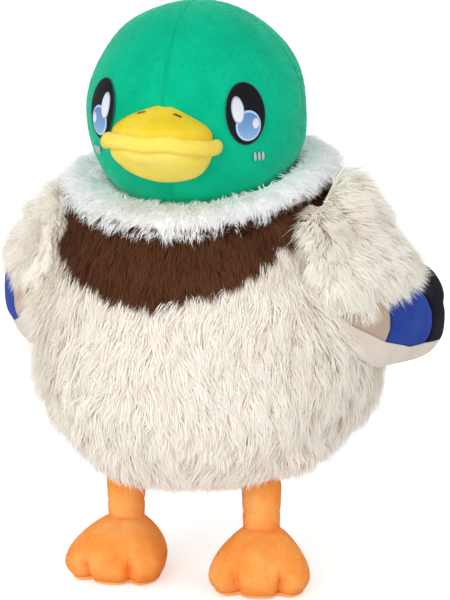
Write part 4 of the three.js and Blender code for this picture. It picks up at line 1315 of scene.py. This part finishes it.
# The foot above its sole: its outline drawn in by cos(angle) to a power, at a
# height of sin(angle) to a power, from a little below the widest place to the
# ankle; the notches between the toes fade out upward, each with a short dent
def footSurface(turn, rise, side, inset=0.0):
    shape = footShape
    climb = np.pi * (rise - 0.5)
    angle = fade(climb, 0, np.pi / 2) * (np.pi / 2 + shape["under"]) - shape["under"]
    out = np.abs(np.cos(angle)) ** shape["outPower"] * np.where(climb < 0, np.abs(np.cos(climb)) ** 0.3, 1)
    smooth = alongRim(smoothOutline, turn)
    notched = fade(np.maximum(angle, 0), shape["notchTop"], -shape["notchTop"])
    rim = smooth + (alongRim(footOutline, turn) - smooth) * notched[..., None]
    toNotch = rim[..., 1] * footSizes[0] / footSizes[1] * notchShares[0] / -notchShares[1]
    across = np.abs(rim[..., 0]) + toNotch
    dent = shape["dent"] * bell(across, shape["dentWidth"]) * notched * (rim[..., 1] < shape["dentFrom"])
    flat = rim * (out * (1 - (inset + dent) / np.linalg.norm(rim, axis=-1)))[..., None]
    low = shape["sole"] + shape["gap"]
    top = legShape["ankleHeight"] - inset
    up = np.abs(np.sin(angle)) ** shape["upPower"]
    above = shape["crown"] * (top - shape["widest"]) * up
    below = (low - shape["widest"]) * up / math.sin(shape["under"]) ** shape["upPower"]
    z = shape["widest"] + np.where(angle > 0, above, below)
    return points3(*turned(flat[..., 0], flat[..., 1], shape["turned"][side]), np.minimum(z, top - 0.0002))


# A flat slab inside the outline, with a rounded edge
def soleSurface(turn, rise, side):
    shape = footShape
    climb = np.pi * (rise - 0.5)
    share = shape["soleShare"] * math.cos(shape["under"]) ** shape["outPower"] \
        * np.abs(np.cos(climb)) ** shape["soleEdge"]
    flat = alongRim(footOutline, turn) * share[..., None]
    half = shape["sole"] / 2
    return points3(*turned(flat[..., 0], flat[..., 1], shape["turned"][side]), half + half * np.sin(climb))


# One leg with its foot, sole and filling
def makeLegs(sideName, side):
    at = np.array((side * legShape["side"], bodyAxisY - legShape["forward"], 0.0))
    legHere = lambda t, r: legSurface(t, r) + at
    footHere = lambda t, r: footSurface(t, r, side) + at
    soleHere = lambda t, r: soleSurface(t, r, side) + at
    fillingHere = lambda t, r: footSurface(t, r, side, footShape["fillingInset"]) + at \
        + np.array((0, 0, footShape["fillingUp"]))
    ankleSeam = {"seam": lambda p: 0.2 * bell(p[:, 2] - legShape["ankleHeight"], 0.001)}
    soleSeam = {"seam": lambda p: 0.6 * bell(p[:, 2] - 0.0034, 0.0008)}
    leg, foot = f"leg_{sideName}", f"foot_{sideName}"
    rideOn(polarPiece(f"leg_skin_{sideName}", legHere, 60, 64, orangePlush, values=ankleSeam), leg,
           (f"leg_cover_{sideName}",))
    rideOn(polarPiece(f"foot_skin_{sideName}", footHere, 56, 144, orangePlush, values=soleSeam), foot,
           (f"foot_upper_{sideName}",))
    rideOn(polarPiece(f"foot_sole_cloth_{sideName}", soleHere, 14, 180, solePlush), foot,
           (f"foot_sole_{sideName}",))
    rideOn(polarPiece(f"foot_filling_fibre_{sideName}", fillingHere, 30, 90, fillingFibre), foot,
           (f"foot_filling_{sideName}",))
    for index, (name, surface, body, count) in enumerate((("leg", legHere, leg, legShape["pileCount"]),
                                                         ("foot", footHere, foot, footShape["pileCount"]))):
        seed = 171 + index + (10 if side > 0 else 0)
        pileOver(f"{name}_pile_{sideName}", surface, count, down * 0.7 + np.array((0, -0.8, 0)), (0.5, 0.03),
                 pileLook, orangePlush, (seed, 175, 181 + index), body,
                 keep=lambda p: p[..., 2] > footShape["pileFrom"])


for sideName, side in sides:
    makeLegs(sideName, side)
print("legs ready")

# Tail: a short, upturned wedge

tailShape = {"halfWidth": 0.024, "halfLength": 0.034, "halfThickness": 0.011, "height": 0.150,
             "inset": 0.004, "insetUp": 0.003, "back": 0.0981 + bodyAxisY, "tilt": math.radians(24),
             "pileCount": 2600, "pileLength": 0.011}


# A flat egg, tilted up
def tailSurface(turn, rise):
    shape = tailShape
    climb, angle = roundAngles(turn, rise)
    x = (shape["halfWidth"] - shape["inset"]) * np.cos(climb) * np.cos(angle)
    y = (shape["halfLength"] - shape["inset"]) * np.cos(climb) * np.sin(angle)
    y, z = turned(y, (shape["halfThickness"] - shape["insetUp"]) * np.sin(climb), shape["tilt"])
    return points3(x, y + shape["back"], z + shape["height"])


# Wedge of skin under the body's pile
def makeTail():
    # The skin's pile value of 0.25 takes a colour near the hairs' roots: painted shade under the pile
    rideOn(polarPiece("tail_skin", tailSurface, 30, 48, creamFur, values={"pile": 0.25, "tone": 0.5}),
           "trunk", ("tail",))
    roots, normals = scatter(tailSurface, int(tailShape["pileCount"] * furCount), np.random.default_rng(191),
                             lambda p: bodyLevel(p, 0.0) > 1)
    comb = np.array((0, 1.0, 0.35)) + 0.3 * noise3(roots, 0.03, 193)
    furPieces("tail_fur", roots, normals, comb, dict(bodyLook, length=tailShape["pileLength"]), creamFur, 192,
              "trunk")


makeTail()

# Fillings that stay as their solids, with a fibre finish
for nodeName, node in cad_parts.items():
    if "filling" in nodeName:
        node.data.materials.clear()
        node.data.materials.append(fillingFibre)
print("tail and fillings ready")

# Camera, light and floor

view = {"azimuth": 17.0, "elevation": 12.0, "lens": 100.0, "sensor": 24.0, "distance": 1.655,
        "aim": (0.0128, bodyAxisY - 0.0082, 0.1813)}
studio = {"floorHalf": 6, "floorHeight": -0.0006, "floorColour": (0.86, 0.86, 0.86, 1),
          "floorToCamera": 0.45, "world": 0.74, "worldToCamera": 1.0, "lampAim": (0, 0, 0.2),
          "lampSize": 1.4}
lamps = (("key", (-0.25, -1.9, 1.0), 17), ("fill", (1.3, -1.1, 0.8), 2))


# Camera of the photo's view, on a line from the aim
def makeCamera():
    azimuth, elevation = math.radians(view["azimuth"]), math.radians(view["elevation"])
    back = np.array((math.sin(azimuth) * math.cos(elevation), -math.cos(azimuth) * math.cos(elevation),
                     math.sin(elevation)))
    data = bpy.data.cameras.new("camera")
    data.lens = view["lens"]
    data.sensor_fit = "VERTICAL"
    data.sensor_height = view["sensor"]
    data.clip_end = 20
    camera = bpy.data.objects.new("camera", data)
    camera.location = np.array(view["aim"]) + back * view["distance"]
    camera.rotation_euler = (math.pi / 2 - elevation, 0, azimuth)
    bpy.context.scene.collection.objects.link(camera)
    bpy.context.scene.camera = camera


# A square lamp turned towards the duck
def addLamp(name, place, power):
    data = bpy.data.lights.new(name, "AREA")
    data.size = studio["lampSize"]
    data.energy = power
    lamp = bpy.data.objects.new(name, data)
    x, y, z = np.array(place) - np.array(studio["lampAim"])
    lamp.location = place
    lamp.rotation_euler = (math.atan2(math.hypot(x, y), z), 0, math.atan2(x, -y))
    bpy.context.scene.collection.objects.link(lamp)


# The floor glows a little to the camera alone, which keeps the background white and the shadow soft
def makeFloor():
    far, height = studio["floorHalf"], studio["floorHeight"]
    mesh = bpy.data.meshes.new("floor")
    mesh.from_pydata([(-far, -far, height), (far, -far, height), (far, far, height), (-far, far, height)], [],
                     [(0, 1, 2, 3)])
    floor = bpy.data.objects.new("floor", mesh)
    bpy.context.scene.collection.objects.link(floor)
    material = bpy.data.materials.new("floorPaper")
    material.use_nodes = True
    nodes, links = material.node_tree.nodes, material.node_tree.links
    shader = nodes["Principled BSDF"]
    for socket, value in (("Base Color", studio["floorColour"]), ("Roughness", 0.9),
                          ("Specular IOR Level", 0.1),
                          ("Emission Color", (1, 1, 1, 1))):
        shader.inputs[socket].default_value = value
    lift = nodes.new("ShaderNodeMath")
    lift.operation = "MULTIPLY"
    lift.inputs[1].default_value = studio["floorToCamera"]
    links.new(nodes.new("ShaderNodeLightPath").outputs["Is Camera Ray"], lift.inputs[0])
    links.new(lift.outputs[0], shader.inputs["Emission Strength"])
    mesh.materials.append(material)


# Even white light all round, with two lamps in front
def makeLight():
    scene = bpy.context.scene
    world = bpy.data.worlds.new("studio")
    world.use_nodes = True
    scene.world = world
    nodes, links = world.node_tree.nodes, world.node_tree.links
    background = nodes["Background"]
    background.inputs["Color"].default_value = (1, 1, 1, 1)
    mix = nodes.new("ShaderNodeMix")
    mix.inputs[2].default_value = studio["world"]
    mix.inputs[3].default_value = studio["worldToCamera"]
    links.new(nodes.new("ShaderNodeLightPath").outputs["Is Camera Ray"], mix.inputs[0])
    links.new(mix.outputs[0], background.inputs["Strength"])
    for name, place, power in lamps:
        addLamp(name, place, power)
    scene.cycles.diffuse_bounces = 8  # light goes deep into pale pile
    scene.view_settings.view_transform = "Standard"


makeCamera()
makeFloor()
makeLight()
print("camera, light and floor ready")
